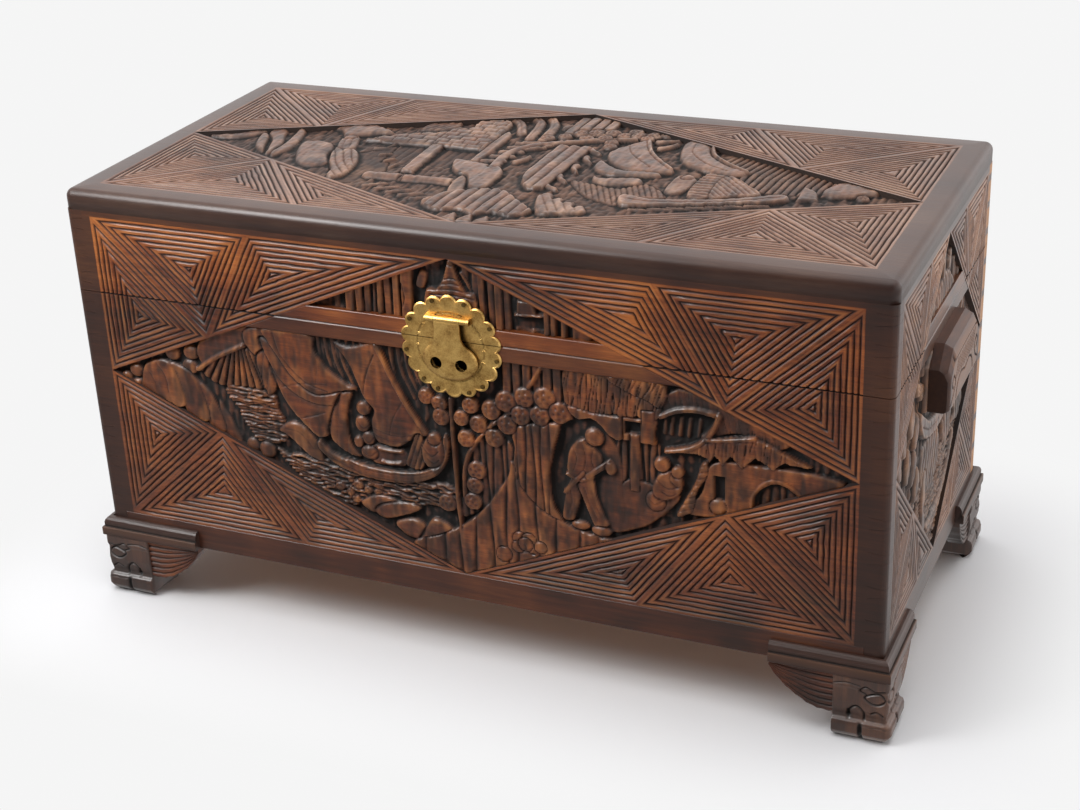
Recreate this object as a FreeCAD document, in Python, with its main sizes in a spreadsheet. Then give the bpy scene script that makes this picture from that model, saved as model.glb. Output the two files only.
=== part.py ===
import FreeCAD, Part
import math
import os
import re
import Sketcher
from FreeCAD import Placement, Rotation, Vector

# A carved camphor-wood chest on four paw feet: a dovetailed box, a hinged lid with a plank top,
# a brass lock plate with a swinging hasp, and a folding stay inside.
# Millimetres, +Z up, +X along the front. The origin is on the floor under the middle of the box.

sizes = {
    # box
    "case_length": 900.0,
    "case_depth": 430.0,
    "board_thk": 20.0,
    "corner_radius": 7.0,
    "foot_height": 73.0,
    "body_height": 302.0,
    "seam_gap": 0.8,
    "lid_height": 92.2,
    "top_thk": 22.0,
    "top_edge_radius": 9.0,
    # dovetails: pin_width at the narrow outer edge, pin_flare added on each side at the root
    "pin_width": 8.0,
    "pin_flare": 2.5,
    # sunk lozenges of the carving, and the plain rails left along the seam
    "carve_depth": 9.0,
    "form_height": 8.0,
    "chevron_depth": 2.1,
    "stile_width": 30.0,
    "end_stile_width": 13.0,
    "field_base_margin": 31.0,
    "field_top_margin": 6.0,
    "top_margin": 28.0,
    "lid_rail": 16.0,
    "body_rail": 17.0,
    # bottom planks in a rebate, tongue between the two top planks, dowels under the top
    "bottom_thk": 14.0,
    "rebate": 8.0,
    "plank_gap": 0.6,
    "plank_fit": 0.15,
    "tongue_thk": 6.0,
    "tongue_reach": 8.0,
    "dowel_radius": 4.0,
    "dowel_length": 30.0,
    "dowel_bury": 9.0,
    "dowel_end_inset": 90.0,
    # feet
    "foot_width": 57.0,
    "foot_proud": 9.0,
    "toe_proud": 3.0,
    "toe_tuck": 7.0,
    "toe_belly_height": 9.0,
    "toe_height": 20.0,
    "ankle_height": 25.0,
    "ankle_tuck": 3.0,
    "wing_length": 67.0,
    "wing_end_length": 52.0,
    "wing_height": 48.0,
    "wing_tip": 6.0,
    "wing_flat": 24.0,
    "wing_curve": 30.0,
    "wing_thk": 18.0,
    "wing_proud": 6.0,
    "moulding_proud": 10.0,
    "moulding_height": 22.0,
    "moulding_run": 115.0,
    "moulding_end_run": 100.0,
    "moulding_round": 6.0,
    "foot_screw_inset": 13.0,
    "foot_screw_length": 52.0,
    "foot_screw_radius": 2.5,
    "foot_screw_head": 5.0,
    # handles
    "handle_length": 140.0,
    "handle_height": 66.0,
    "handle_stand": 22.0,
    "handle_drop": 12.0,
    "handle_cut_run": 22.0,
    "handle_cut_fall": 20.0,
    "handle_bevel": 12.0,
    "handle_round": 4.0,
    "grip_length": 104.0,
    "grip_width": 15.0,
    "grip_depth": 16.0,
    "handle_screw_spread": 84.0,
    "handle_screw_rise": 44.0,
    "handle_screw_length": 34.0,
    # lock plate and hasp
    "plate_radius": 56.0,
    "petal_radius": 9.5,
    "plate_thk": 1.6,
    "plate_drop": 7.0,
    "seat_radius": 54.0,
    "nail_radius": 1.0,
    "nail_head": 2.2,
    "nail_head_thk": 1.0,
    "nail_length": 13.0,
    "nail_circle": 51.0,
    "hasp_rise": 24.0,
    "hasp_stand": 4.0,
    "hasp_knuckle_radius": 3.4,
    "hasp_knuckle_length": 28.0,
    "hasp_pin_radius": 1.5,
    "ear_length": 10.0,
    "hasp_thk": 2.0,
    "neck_inset": 0.35,
    "hasp_lobe_radius": 32.0,
    "hasp_lobe_slope": 9.0,
    "hasp_lobe_drop": 47.0,
    "hasp_float": 0.4,
    "hasp_hole_radius": 6.5,
    "hasp_hole_spread": 28.0,
    # back hinges
    "hinge_place": 270.0,
    "leaf_length": 70.0,
    "leaf_height": 32.0,
    "leaf_thk": 2.2,
    "hinge_stand": 4.4,
    "barrel_radius": 4.2,
    "hinge_pin_radius": 2.0,
    "knuckle_gap": 0.3,
    "leaf_screw_spread": 48.0,
    "leaf_screw_drop": 20.0,
    # folding lid stay on the right end
    "stay_arm": 156.0,
    "stay_width": 13.0,
    "stay_thk": 2.5,
    "stay_layer_gap": 0.3,
    "stay_foot_back": 179.4,
    "stay_foot_drop": 60.4,
    "stay_head_back": 139.4,
    "stay_head_rise": 44.6,
    "stay_pin_radius": 2.5,
    "stay_cap_radius": 5.0,
    "stay_cap_thk": 1.5,
    "bracket_length": 46.0,
    "bracket_height": 18.0,
    "bracket_thk": 2.5,
    "bracket_screw_spread": 30.0,
    # screws of the brass fittings, and the clearances
    "screw_radius": 1.6,
    "screw_head": 3.4,
    "screw_sink": 1.8,
    "screw_length": 15.0,
    "pin_clearance": 0.05,
    "screw_clearance": 0.1,
    "knuckle_relief": 0.4,
    "overrun": 2.0,
    # how near an edge lies to the place that it is picked by
    "pick_slack": 0.01,
}
bodyTailCount = 8
lidTailCount = 3
petalCount = 18
knuckleCount = 5
upperNailAngles = (30, 70, 110, 150)
lowerNailAngles = (190, 230, 250, 290, 310, 350)
longDowelShares = (1, 0.4)
endDowelShare = 0.45
leafScrewShares = (-0.5, 0, 0.5)
bracketScrewShares = (-0.5, 0.5)
# Where a corner field's three triangles of nested cuts meet on the lozenge's edge and on the border, and the
# outer and inner share of each cut
meetOnEdgeShare = 0.33
meetOnBorderShare = 0.53
chevronCutShares = ((0.8, 0.72), (0.45, 0.37))
# Main forms of the river scene carved on the front: corners as shares of the lozenge's half length and height
frontFormShares = {
    "leaf_rock": ((-0.9, -0.03), (-0.85, 0.09), (-0.75, -0.05), (-0.64, -0.34), (-0.71, -0.25),
                  (-0.82, -0.14)),
    "fan_hill": ((-0.73, 0.05), (-0.6, 0.25), (-0.58, 0.22), (-0.58, 0.02), (-0.69, 0.02)),
    "fore_sail": ((-0.58, 0.37), (-0.4, 0.4), (-0.38, 0.25), (-0.28, 0.1), (-0.36, -0.21), (-0.45, -0.15),
                  (-0.53, 0.21)),
    "main_sail": ((-0.31, 0.37), (-0.22, 0.4), (-0.1, -0.11), (-0.15, -0.21), (-0.24, -0.17), (-0.24, 0.08)),
    "hull": ((-0.39, -0.26), (-0.29, -0.38), (-0.14, -0.39), (-0.05, -0.23), (-0.03, -0.18), (-0.07, -0.39),
             (-0.21, -0.46), (-0.36, -0.4)),
    "shore_rocks": ((-0.29, -0.63), (-0.23, -0.55), (-0.15, -0.6), (-0.11, -0.7), (-0.19, -0.74)),
    "mound": ((-0.13, -0.83), (0.01, -0.64), (0.1, -0.41), (0.15, 0.01), (0.26, 0.07), (0.24, -0.27),
              (0.24, -0.43), (0.27, -0.55), (0.38, -0.6), (0.01, -0.97)),
    "blossoms": ((-0.06, 0.05), (0.05, 0.12), (0.14, 0.22), (0.28, 0.2), (0.27, 0.14), (0.14, 0.08),
                 (0.09, -0.12), (0.01, -0.12)),
    "walking_figure": ((0.34, 0.06), (0.38, 0.02), (0.38, -0.17), (0.38, -0.5), (0.35, -0.5), (0.33, -0.32),
                       (0.31, -0.5), (0.28, -0.49), (0.3, -0.24), (0.3, -0.08)),
    "hut": ((0.3, 0.38), (0.4, 0.38), (0.52, 0.27), (0.51, 0.06), (0.49, 0.05), (0.43, 0.1), (0.4, 0.1),
            (0.36, 0.16), (0.3, 0.16)),
    "seated_figures": ((0.5, -0.32), (0.51, -0.12), (0.54, -0.04), (0.57, -0.14), (0.56, -0.27)),
    "house": ((0.59, -0.35), (0.64, -0.07), (0.57, 0.02), (0.66, 0.12), (0.75, 0.16), (0.89, 0.05),
              (0.94, -0.01), (0.85, -0.12), (0.69, -0.28)),
}
# Main forms of the harbour carved on the top: corners as shares of the lozenge's half length and half width
topFormShares = {
    "leaves": ((-0.8, 0.15), (-0.75, 0.22), (-0.71, 0.04), (-0.7, -0.19), (-0.73, -0.12)),
    "jar": ((-0.68, 0.05), (-0.62, 0.12), (-0.57, 0.02), (-0.53, -0.25), (-0.59, -0.31)),
    "hat": ((-0.64, 0.33), (-0.59, 0.38), (-0.48, 0.36), (-0.59, 0.22)),
    "robe": ((-0.55, -0.02), (-0.5, -0.02), (-0.45, -0.27), (-0.47, -0.47), (-0.51, -0.21)),
    "roof": ((-0.53, 0.19), (-0.33, 0.46), (-0.28, 0.69), (-0.2, 0.73), (-0.18, 0.21)),
    "post": ((-0.32, 0.16), (-0.29, 0.16), (-0.28, -0.26), (-0.31, -0.27)),
    "log": ((-0.37, -0.31), (-0.14, -0.29), (-0.14, -0.4), (-0.37, -0.42)),
    "hanging_leaves": ((-0.17, 0.8), (-0.14, 0.58), (-0.06, 0.49), (-0.08, 0.81)),
    "plate_rock": ((-0.2, -0.02), (-0.07, -0.05), (-0.05, -0.25), (-0.06, -0.42), (-0.13, -0.25)),
    "foliage": ((0, 0.6), (0.06, 0.75), (0.23, 0.74), (0.14, 0.62), (0.07, 0.52)),
    "tower": ((0, 0.41), (0.09, 0.43), (0.09, -0.32), (0.05, -0.33), (0, -0.11)),
    "mound": ((-0.16, -0.71), (-0.08, -0.46), (0.01, -0.42), (0.09, -0.58), (0.12, -0.68), (0.05, -0.76),
              (-0.09, -0.8)),
    "toothed_leaf": ((0.1, -0.44), (0.25, -0.62), (0.15, -0.7)),
    "fore_sail": ((0.2, 0.61), (0.15, 0.4), (0.19, 0.18), (0.35, 0.12), (0.25, 0.46)),
    "main_sail": ((0.33, 0.63), (0.38, 0.6), (0.47, 0.33), (0.53, 0.24), (0.45, 0.19), (0.39, 0.25),
                  (0.32, 0.48)),
    "hood": ((0.49, 0.12), (0.53, 0.14), (0.62, -0.09), (0.5, -0.19)),
    "hull": ((0.3, -0.31), (0.47, -0.28), (0.67, -0.07), (0.68, -0.15), (0.48, -0.36), (0.32, -0.45)),
    "tip_rock": ((0.75, 0.1), (0.8, 0.17), (0.85, 0.12), (0.83, 0.03)),
}

doc = FreeCAD.newDocument("carved_chest")
sheet = doc.addObject("Spreadsheet::Sheet", "sizes")
for row, (alias, size) in enumerate(sizes.items(), 1):
    sheet.set(f"A{row}", alias)
    sheet.set(f"B{row}", str(size))
    sheet.setAlias(f"B{row}", alias)
doc.recompute()

# Levels and half sizes that many pieces share, as expressions of the sheet.
halfLength = "(case_length / 2)"
halfDepth = "(case_depth / 2)"
seam = "(foot_height + body_height)"
lidBase = f"({seam} + seam_gap)"
lidRim = f"({lidBase} + lid_height)"
fieldBase = "(foot_height + field_base_margin)"
fieldTop = f"({lidRim} - field_top_margin)"
lozengeZ = f"(({fieldBase} + {fieldTop}) / 2)"
lozengeRise = f"(({fieldTop} - {fieldBase}) / 2)"
axisY = f"({halfDepth} + hinge_stand)"
axisZ = f"({seam} + seam_gap / 2)"

turns = {
    "z": Rotation(),
    "-z": Rotation(Vector(1, 0, 0), 180),
    "x": Rotation(Vector(0, 1, 0), 90),
    "-x": Rotation(Vector(0, 1, 0), -90),
    "y": Rotation(Vector(1, 0, 0), -90),
    "-y": Rotation(Vector(1, 0, 0), 90),
}
nodes = []


# Puts the sheet's name before every size in an expression.
def linked(text):
    return re.sub(r"[a-z_]+", lambda word: ("sizes." if word.group() in sizes else "") + word.group(), text)


def bind(thing, **links):
    for name, text in links.items():
        thing.setExpression(name, linked(text))


def place(thing, at, along="z"):
    thing.Placement = Placement(Vector(), turns[along])
    for axis, text in zip("xyz", at):
        thing.setExpression("Placement.Base." + axis, linked(text))
    return thing


# Makes an object the finished solid, or group of solids, of a node.
def finish(node, thing):
    thing.Label = node
    nodes.append(thing)
    return thing


def box(name, size, corner):
    thing = doc.addObject("Part::Box", name)
    bind(thing, Length=size[0], Width=size[1], Height=size[2])
    return place(thing, corner)


def rod(name, radius, length, start, along):
    thing = doc.addObject("Part::Cylinder", name)
    bind(thing, Radius=radius, Height=length)
    return place(thing, start, along)


def fuse(name, things):
    thing = doc.addObject("Part::MultiFuse", name)
    thing.Shapes = things
    return thing


def common(name, things):
    thing = doc.addObject("Part::MultiCommon", name)
    thing.Shapes = things
    return thing


def cut(name, base, tools):
    thing = base
    for count, tool in enumerate(tools):
        trimmed = doc.addObject("Part::Cut", f"{name}_{count}")
        trimmed.Base = thing
        trimmed.Tool = tool
        thing = trimmed
    return thing


def group(name, things):
    thing = doc.addObject("Part::Compound", name)
    thing.Links = things
    return thing


def mirror(name, source, axis):
    thing = doc.addObject("Part::Mirroring", name)
    thing.Source = source
    thing.Normal = Vector(axis == "x", axis == "y", 0)
    return thing


def newBody(name):
    return doc.addObject("PartDesign::Body", name)


# A sketch on one of the body's own planes, moved out along the plane's normal.
def newSketch(body, name, plane, offset, rise="0"):
    sketch = body.newObject("Sketcher::SketchObject", name)
    support = [feature for feature in body.Origin.OriginFeatures if feature.Role == plane]
    sketch.AttachmentSupport = (support[0], [""])
    sketch.MapMode = "FlatFace"
    sketch.setExpression("AttachmentOffset.Base.y", linked(rise))
    sketch.setExpression("AttachmentOffset.Base.z", linked(offset))
    return sketch


# Closed polygons in a sketch. Every corner is held by two distances bound to the sheet.
def polygons(sketch, loops):
    for corners in loops:
        first = sketch.GeometryCount
        count = len(corners)
        steps = [2 * math.pi * i / count for i in range(count)]
        rough = [Vector(math.cos(step), math.sin(step), 0) for step in steps]
        for i in range(count):
            sketch.addGeometry(Part.LineSegment(rough[i], rough[(i + 1) % count]))
        for i in range(count):
            sketch.addConstraint(Sketcher.Constraint("Coincident", first + i, 2, first + (i + 1) % count, 1))
        for i, corner in enumerate(corners):
            for kind, text, start in zip(("DistanceX", "DistanceY"), corner, (rough[i].x, rough[i].y)):
                index = sketch.addConstraint(Sketcher.Constraint(kind, -1, 1, first + i, 1, start))
                sketch.setExpression(f"Constraints[{index}]", linked(text))


# A circle whose centre lies on the sketch's vertical axis.
def circle(sketch, radius, centre="0"):
    index = sketch.addGeometry(Part.Circle(Vector(0, 0, 0), Vector(0, 0, 1), 1))
    sketch.addConstraint(Sketcher.Constraint("DistanceX", -1, 1, index, 3, 0))
    height = sketch.addConstraint(Sketcher.Constraint("DistanceY", -1, 1, index, 3, 0))
    sketch.setExpression(f"Constraints[{height}]", linked(centre))
    size = sketch.addConstraint(Sketcher.Constraint("Radius", index, 1))
    sketch.setExpression(f"Constraints[{size}]", linked(radius))


def pad(body, sketch, length, inward=False):
    feature = body.newObject("PartDesign::Pad", sketch.Name + "_pad")
    feature.Profile = sketch
    feature.Reversed = inward
    bind(feature, Length=length)
    doc.recompute()
    return feature


# Cuts a sketch into its body and makes sure that it took something away.
def pocket(body, sketch, length, outward=False):
    before = body.Shape.Volume
    feature = body.newObject("PartDesign::Pocket", sketch.Name + "_pocket")
    feature.Profile = sketch
    feature.Reversed = outward
    bind(feature, Length=length)
    doc.recompute()
    if feature.Shape.Volume >= before:
        raise RuntimeError(feature.Name + " cuts nothing")
    return feature


# Rounds or bevels the edges of the body's last feature that a test picks out.
def soften(body, kind, size, picks):
    base = body.Tip
    names = [f"Edge{i}" for i, edge in enumerate(base.Shape.Edges, 1) if picks(edge)]
    feature = body.newObject("PartDesign::" + kind, f"{body.Name}_{kind}")
    feature.Base = (base, names)
    bind(feature, **{"Radius" if kind == "Fillet" else "Size": size})
    doc.recompute()
    return feature


def isVertical(edge):
    return edge.BoundBox.XLength + edge.BoundBox.YLength < sizes["pick_slack"]


def countersunk(name, at, along, length, radius, head, grow="0"):
    cone = doc.addObject("Part::Cone", name + "_head")
    bind(cone, Radius1=f"{head} + {grow}", Radius2=f"{radius} + {grow}", Height="screw_sink")
    place(cone, at, along)
    shank = rod(name + "_shank", f"{radius} + {grow}", f"{length} + {grow}", at, along)
    return fuse(name, [cone, shank])


# The screws of one fitting, and the holes that they stand in.
def screwSet(name, places, along, length="screw_length", radius="screw_radius", head="screw_head"):
    made = []
    for grow in ("0", "screw_clearance"):
        kind = "screw" if grow == "0" else "hole"
        made.append(group(f"{name}_{kind}_set", [
            countersunk(f"{name}_{kind}_{i}", at, along, length, radius, head, grow)
            for i, at in enumerate(places)]))
    return made


# Shared envelopes

# A block with the box's rounded upright corners, between two levels.
def envelope(name, base, height):
    body = newBody(name)
    sketch = newSketch(body, name + "_plan", "XY_Plane", base)
    polygons(sketch, [[(f"-{halfLength}", f"-{halfDepth}"), (halfLength, f"-{halfDepth}"),
                       (halfLength, halfDepth), (f"-{halfLength}", halfDepth)]])
    pad(body, sketch, height)
    soften(body, "Fillet", "corner_radius", isVertical)
    return body


bodyEnvelope = envelope("body_envelope", "foot_height", "body_height")
lidEnvelope = envelope("lid_envelope", lidBase, "lid_height")


# Half the width of a lozenge at a level above its middle.
def lozengeHalf(run, level):
    return f"({run} * (1 - ({level} - {lozengeZ}) / {lozengeRise}))"


def bodyLozenge(run):
    level = f"({seam} - body_rail)"
    half = lozengeHalf(run, level)
    return [("0", fieldBase), (run, lozengeZ), (half, level), (f"-{half}", level), (f"-{run}", lozengeZ)]


def lidLozenge(run):
    level = f"({lidBase} + lid_rail)"
    half = lozengeHalf(run, level)
    return [(f"-{half}", level), (half, level), ("0", fieldTop)]


frontRun = f"({halfLength} - stile_width)"
endRun = f"({halfDepth} - end_stile_width)"


# Corners given as shares of a lozenge's half length and half height, as places in a sketch.
def atShares(corners, run, rise, middle="0"):
    return [(f"{along} * {run}", f"{middle} + {across} * {rise}") for along, across in corners]


# Box boards

# A front or back board: full length, with sockets for the pins of the ends along both edges.
def tailBoard(name, base, height, tails, lozenge=None, forms=None):
    body = newBody(name)
    face = newSketch(body, name + "_face", "XZ_Plane", halfDepth)
    polygons(face, [[(f"-{halfLength}", base), (halfLength, base),
                     (halfLength, f"{base} + {height}"), (f"-{halfLength}", f"{base} + {height}")]])
    pad(body, face, "board_thk", inward=True)
    middle = f"({base} + {height} / {2 * tails})"
    root = "(pin_width / 2 + pin_flare)"
    sockets = newSketch(body, name + "_sockets", "XZ_Plane", halfDepth)
    polygons(sockets, [[(f"{side}({halfLength} + overrun)", f"{middle} - pin_width / 2"),
                        (f"{side}({halfLength} + overrun)", f"{middle} + pin_width / 2"),
                        (f"{side}({halfLength} - board_thk)", f"{middle} + {root}"),
                        (f"{side}({halfLength} - board_thk)", f"{middle} - {root}")] for side in ("", "-")])
    first = pocket(body, sockets, "board_thk + overrun")
    row = body.newObject("PartDesign::LinearPattern", name + "_row")
    row.Originals = [first]
    row.Direction = (sockets, ["V_Axis"])
    row.Occurrences = tails
    bind(row, Length=f"{height} * {tails - 1} / {tails}")
    body.Tip = row
    doc.recompute()
    if lozenge:
        sunk = newSketch(body, name + "_lozenge", "XZ_Plane", halfDepth)
        polygons(sunk, [lozenge])
        pocket(body, sunk, "carve_depth")
    if forms:
        raised = newSketch(body, name + "_forms", "XZ_Plane", f"{halfDepth} - carve_depth")
        polygons(raised, [atShares(corners, frontRun, lozengeRise, lozengeZ) for corners in forms.values()])
        pad(body, raised, "form_height")
    return body


# A right end board with its sunk lozenge, before the front and back boards are cut out of it.
def endBoard(name, base, height, lozenge, raised=None):
    body = newBody(name)
    face = newSketch(body, name + "_face", "YZ_Plane", halfLength)
    polygons(face, [[(f"-{halfDepth}", base), (halfDepth, base),
                     (halfDepth, f"{base} + {height}"), (f"-{halfDepth}", f"{base} + {height}")]])
    pad(body, face, "board_thk", inward=True)
    sunk = newSketch(body, name + "_lozenge", "YZ_Plane", halfLength)
    polygons(sunk, [lozenge])
    pocket(body, sunk, "carve_depth")
    if raised:
        seat = newSketch(body, name + "_seat", "YZ_Plane", f"{halfLength} - carve_depth")
        polygons(seat, [raised])
        pad(body, seat, "carve_depth")
    return body


handleTop = f"({seam} - handle_drop)"
handleBase = f"({handleTop} - handle_height)"
handleShoulder = "(handle_length / 2 - handle_cut_run)"
handleOutline = [("-handle_length / 2", handleBase), ("handle_length / 2", handleBase),
                 ("handle_length / 2", f"{handleTop} - handle_cut_fall"), (handleShoulder, handleTop),
                 (f"-{handleShoulder}", handleTop), ("-handle_length / 2", f"{handleTop} - handle_cut_fall")]

plateZ = f"({seam} - plate_drop)"
lockSeat = rod("lock_seat", "seat_radius", "carve_depth", ("0", f"-{halfDepth}", plateZ), "y")

bodyFront = tailBoard("body_front", "foot_height", "body_height", bodyTailCount, bodyLozenge(frontRun),
                      frontFormShares)
bodyBack = mirror("body_back", tailBoard("body_plain", "foot_height", "body_height", bodyTailCount), "y")
lidFront = tailBoard("lid_front", lidBase, "lid_height", lidTailCount, lidLozenge(frontRun))
lidBack = mirror("lid_back", tailBoard("lid_plain", lidBase, "lid_height", lidTailCount), "y")
bodyEndBlank = endBoard("body_end", "foot_height", "body_height", bodyLozenge(endRun), handleOutline)
bodyEnd = cut("body_end_pins", bodyEndBlank, [bodyFront, bodyBack])
lidEndBlank = endBoard("lid_end", lidBase, "lid_height", lidLozenge(endRun))
lidEnd = cut("lid_end_pins", lidEndBlank, [lidFront, lidBack])

# Bottom planks in a rebate round the inside of the lower edge
floorHalfLength = f"({halfLength} - board_thk + rebate)"
floorHalfDepth = f"({halfDepth} - board_thk + rebate)"
rebate = box("bottom_rebate", (f"2 * {floorHalfLength}", f"2 * {floorHalfDepth}", "bottom_thk"),
             (f"-{floorHalfLength}", f"-{floorHalfDepth}", "foot_height"))
plankLength = f"(2 * {floorHalfLength} - 2 * plank_fit)"
plankWidth = f"((2 * {floorHalfDepth} - 2 * plank_fit - 2 * plank_gap) / 3)"
planks = {}
for i, name in enumerate(("front", "middle", "rear")):
    planks[name] = box(f"plank_{name}", (plankLength, plankWidth, "bottom_thk"),
                       (f"-{floorHalfLength} + plank_fit",
                        f"-{floorHalfDepth} + plank_fit + {i} * ({plankWidth} + plank_gap)", "foot_height"))

# Lid top: two planks with a tongue between them, softened along the outer edge
topBlank = envelope("top_blank", lidRim, "top_thk")
topLevel = f"({lidRim} + top_thk)"
topMiddle = topBlank.Shape.BoundBox.Center.z
soften(topBlank, "Fillet", "top_edge_radius", lambda edge: edge.BoundBox.ZMin > topMiddle)
topRun = f"({halfLength} - top_margin)"
topRise = f"({halfDepth} - top_margin)"
topSunk = newSketch(topBlank, "top_lozenge", "XY_Plane", topLevel)
polygons(topSunk, [[(f"-{topRun}", "0"), ("0", f"-{topRise}"), (topRun, "0"), ("0", topRise)]])
pocket(topBlank, topSunk, "carve_depth")
topForms = newSketch(topBlank, "top_forms", "XY_Plane", f"{topLevel} - carve_depth")
polygons(topForms, [atShares(corners, topRun, topRise) for corners in topFormShares.values()])
pad(topBlank, topForms, "form_height")


# The three triangles of a corner field outside a lozenge, as shares.
def chevronTriangles(side, end):
    onEdge = (side * (1 - meetOnEdgeShare), end * meetOnEdgeShare)
    onBorder = (side * (1 - meetOnBorderShare), end)
    return [((side, end), (side, 0), onEdge), ((side, end), onEdge, onBorder), (onBorder, onEdge, (0, end))]


# A triangle drawn in towards its middle.
def drawnIn(corners, share):
    middle = [sum(place) / len(corners) for place in zip(*corners)]
    return [tuple(centre + share * (part - centre) for centre, part in zip(middle, corner))
            for corner in corners]


for cornerName, side, end in (("front_right", 1, -1), ("front_left", -1, -1), ("rear_right", 1, 1),
                              ("rear_left", -1, 1)):
    chevrons = newSketch(topBlank, f"top_chevrons_{cornerName}", "XY_Plane", topLevel)
    polygons(chevrons, [atShares(drawnIn(corners, share), topRun, topRise)
                        for corners in chevronTriangles(side, end) for shares in chevronCutShares
                        for share in shares])
    pocket(topBlank, chevrons, "chevron_depth")


def topHalf(name, start):
    half = box(name, ("case_length", halfDepth, "top_thk"), (f"-{halfLength}", start, lidRim))
    return common(name + "_plank", [topBlank, half])


# The tongue stands under the sunk ground of the carving and is glued into its groove.
def tongueBar(name, play):
    base = f"{lidRim} + (top_thk - carve_depth - tongue_thk) / 2"
    length = f"case_length - 2 * top_margin + 2 * {play}"
    return box(name, (length, f"tongue_reach + {play}", f"tongue_thk + 2 * {play}"),
               (f"-{halfLength} + top_margin - {play}", "0", f"{base} - {play}"))


topFront = fuse("top_front_tongued", [topHalf("top_front", f"-{halfDepth}"), tongueBar("top_tongue", "0")])
topRear = cut("top_rear_grooved", topHalf("top_rear", "0"), [tongueBar("top_groove", "plank_fit")])

# Blind dowels between the side boards and the top
dowelX = f"({halfLength} - dowel_end_inset)"
dowelSpots = [(f"{side}{dowelX} * {share}", f"{row}({halfDepth} - board_thk / 2)")
              for row in ("-", "") for side in ("-", "") for share in longDowelShares]
dowelSpots += [(f"{side}({halfLength} - board_thk / 2)", f"{row}{halfDepth} * {endDowelShare}")
               for side in ("-", "") for row in ("-", "")]
dowels = {}
for kind, play in (("dowel", "0"), ("dowel_hole", "screw_clearance")):
    dowels[kind] = group(kind + "s", [
        rod(f"{kind}_{i}", f"dowel_radius + {play}", f"dowel_length + 2 * {play}",
            (x, y, f"{lidRim} + dowel_bury - dowel_length - {play}"), "z")
        for i, (x, y) in enumerate(dowelSpots)])

# Feet: the front right one, mirrored to the other corners
footOut = f"({halfLength} + foot_proud)"
footIn = f"({footOut} - foot_width)"
footFront = f"({halfDepth} + foot_proud)"
footRear = f"({footFront} - foot_width)"
footSpan = "foot_width + toe_proud"


# Side view of a paw: tucked sole, swelling toe, narrow ankle and plain leg.
def pawOutline(sign, inner, outer):
    steps = [(f"({outer} - toe_tuck)", "0"), (f"({outer} + toe_proud)", "toe_belly_height"),
             (f"({outer} + toe_proud)", "toe_height"), (f"({outer} - ankle_tuck)", "ankle_height"),
             (outer, "foot_height")]
    outside = [(sign + reach, level) for reach, level in steps]
    return [(sign + inner, "0")] + outside + [(sign + inner, "foot_height")]


def pawBlock():
    seenFromFront = newBody("paw_front_view")
    sketch = newSketch(seenFromFront, "paw_front_outline", "XZ_Plane", f"{footFront} + toe_proud")
    polygons(sketch, [pawOutline("", footIn, footOut)])
    pad(seenFromFront, sketch, footSpan, inward=True)
    seenFromEnd = newBody("paw_end_view")
    sketch = newSketch(seenFromEnd, "paw_end_outline", "YZ_Plane", f"{footOut} + toe_proud")
    polygons(sketch, [pawOutline("-", footRear, footFront)])
    pad(seenFromEnd, sketch, footSpan, inward=True)
    return common("paw", [seenFromFront, seenFromEnd])


# A bracket wing beside the paw: full height at the paw, a rounded lower edge rising to a thin tip.
def wing(name, plane, sign, root, length, outer):
    body = newBody(name)
    sketch = newSketch(body, name + "_outline", plane, outer)
    points = [("0", "0"), (length, "0"), (length, "wing_tip"),
              ("wing_flat", "wing_height"), ("0", "wing_height")]
    polygons(sketch, [[(f"{sign}({root} - {run})", f"foot_height - {fall}") for run, fall in points]])
    pad(body, sketch, "wing_thk", inward=True)
    low = sizes["foot_height"] - sizes["wing_height"] + sizes["pick_slack"]
    across = [edge for edge in body.Shape.Edges if edge.BoundBox.ZMax < low
              and abs(edge.Length - sizes["wing_thk"]) < sizes["pick_slack"]]
    far = max(fromCorner(edge) for edge in across)

    def isElbow(edge):
        return edge.BoundBox.ZMax < low and abs(fromCorner(edge) - far) < sizes["pick_slack"]
    soften(body, "Fillet", "wing_curve", isElbow)
    return body


# How far an edge is from the front right corner of the box, along the front and the end together.
def fromCorner(edge):
    middle = edge.CenterOfMass
    return (sizes["case_length"] + sizes["case_depth"]) / 2 - middle.x + middle.y


# One mitred half of the moulding that caps a foot.
def moulding(name, corners, along):
    body = newBody(name)
    sketch = newSketch(body, name + "_plan", "XY_Plane", "foot_height")
    polygons(sketch, [corners])
    pad(body, sketch, "moulding_height")
    top = sizes["foot_height"] + sizes["moulding_height"]
    outside = (sizes["case_depth"] if along == "x" else sizes["case_length"]) / 2 + sizes["moulding_proud"]

    def isNosing(edge):
        middle = edge.CenterOfMass
        reach = -middle.y if along == "x" else middle.x
        return max(abs(middle.z - top), abs(reach - outside)) < sizes["pick_slack"]
    soften(body, "Fillet", "moulding_round", isNosing)
    return body


mitreOut = (f"{halfLength} + moulding_proud", f"-{halfDepth} - moulding_proud")
mitreIn = (halfLength, f"-{halfDepth}")
frontMoulding = moulding("front_moulding", [
    mitreOut, mitreIn, (f"{halfLength} - moulding_run", f"-{halfDepth}"),
    (f"{halfLength} - moulding_run", f"-{halfDepth} - moulding_proud")], "x")
endMoulding = moulding("end_moulding", [
    mitreIn, mitreOut, (f"{halfLength} + moulding_proud", f"-{halfDepth} + moulding_end_run"),
    (halfLength, f"-{halfDepth} + moulding_end_run")], "y")

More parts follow.
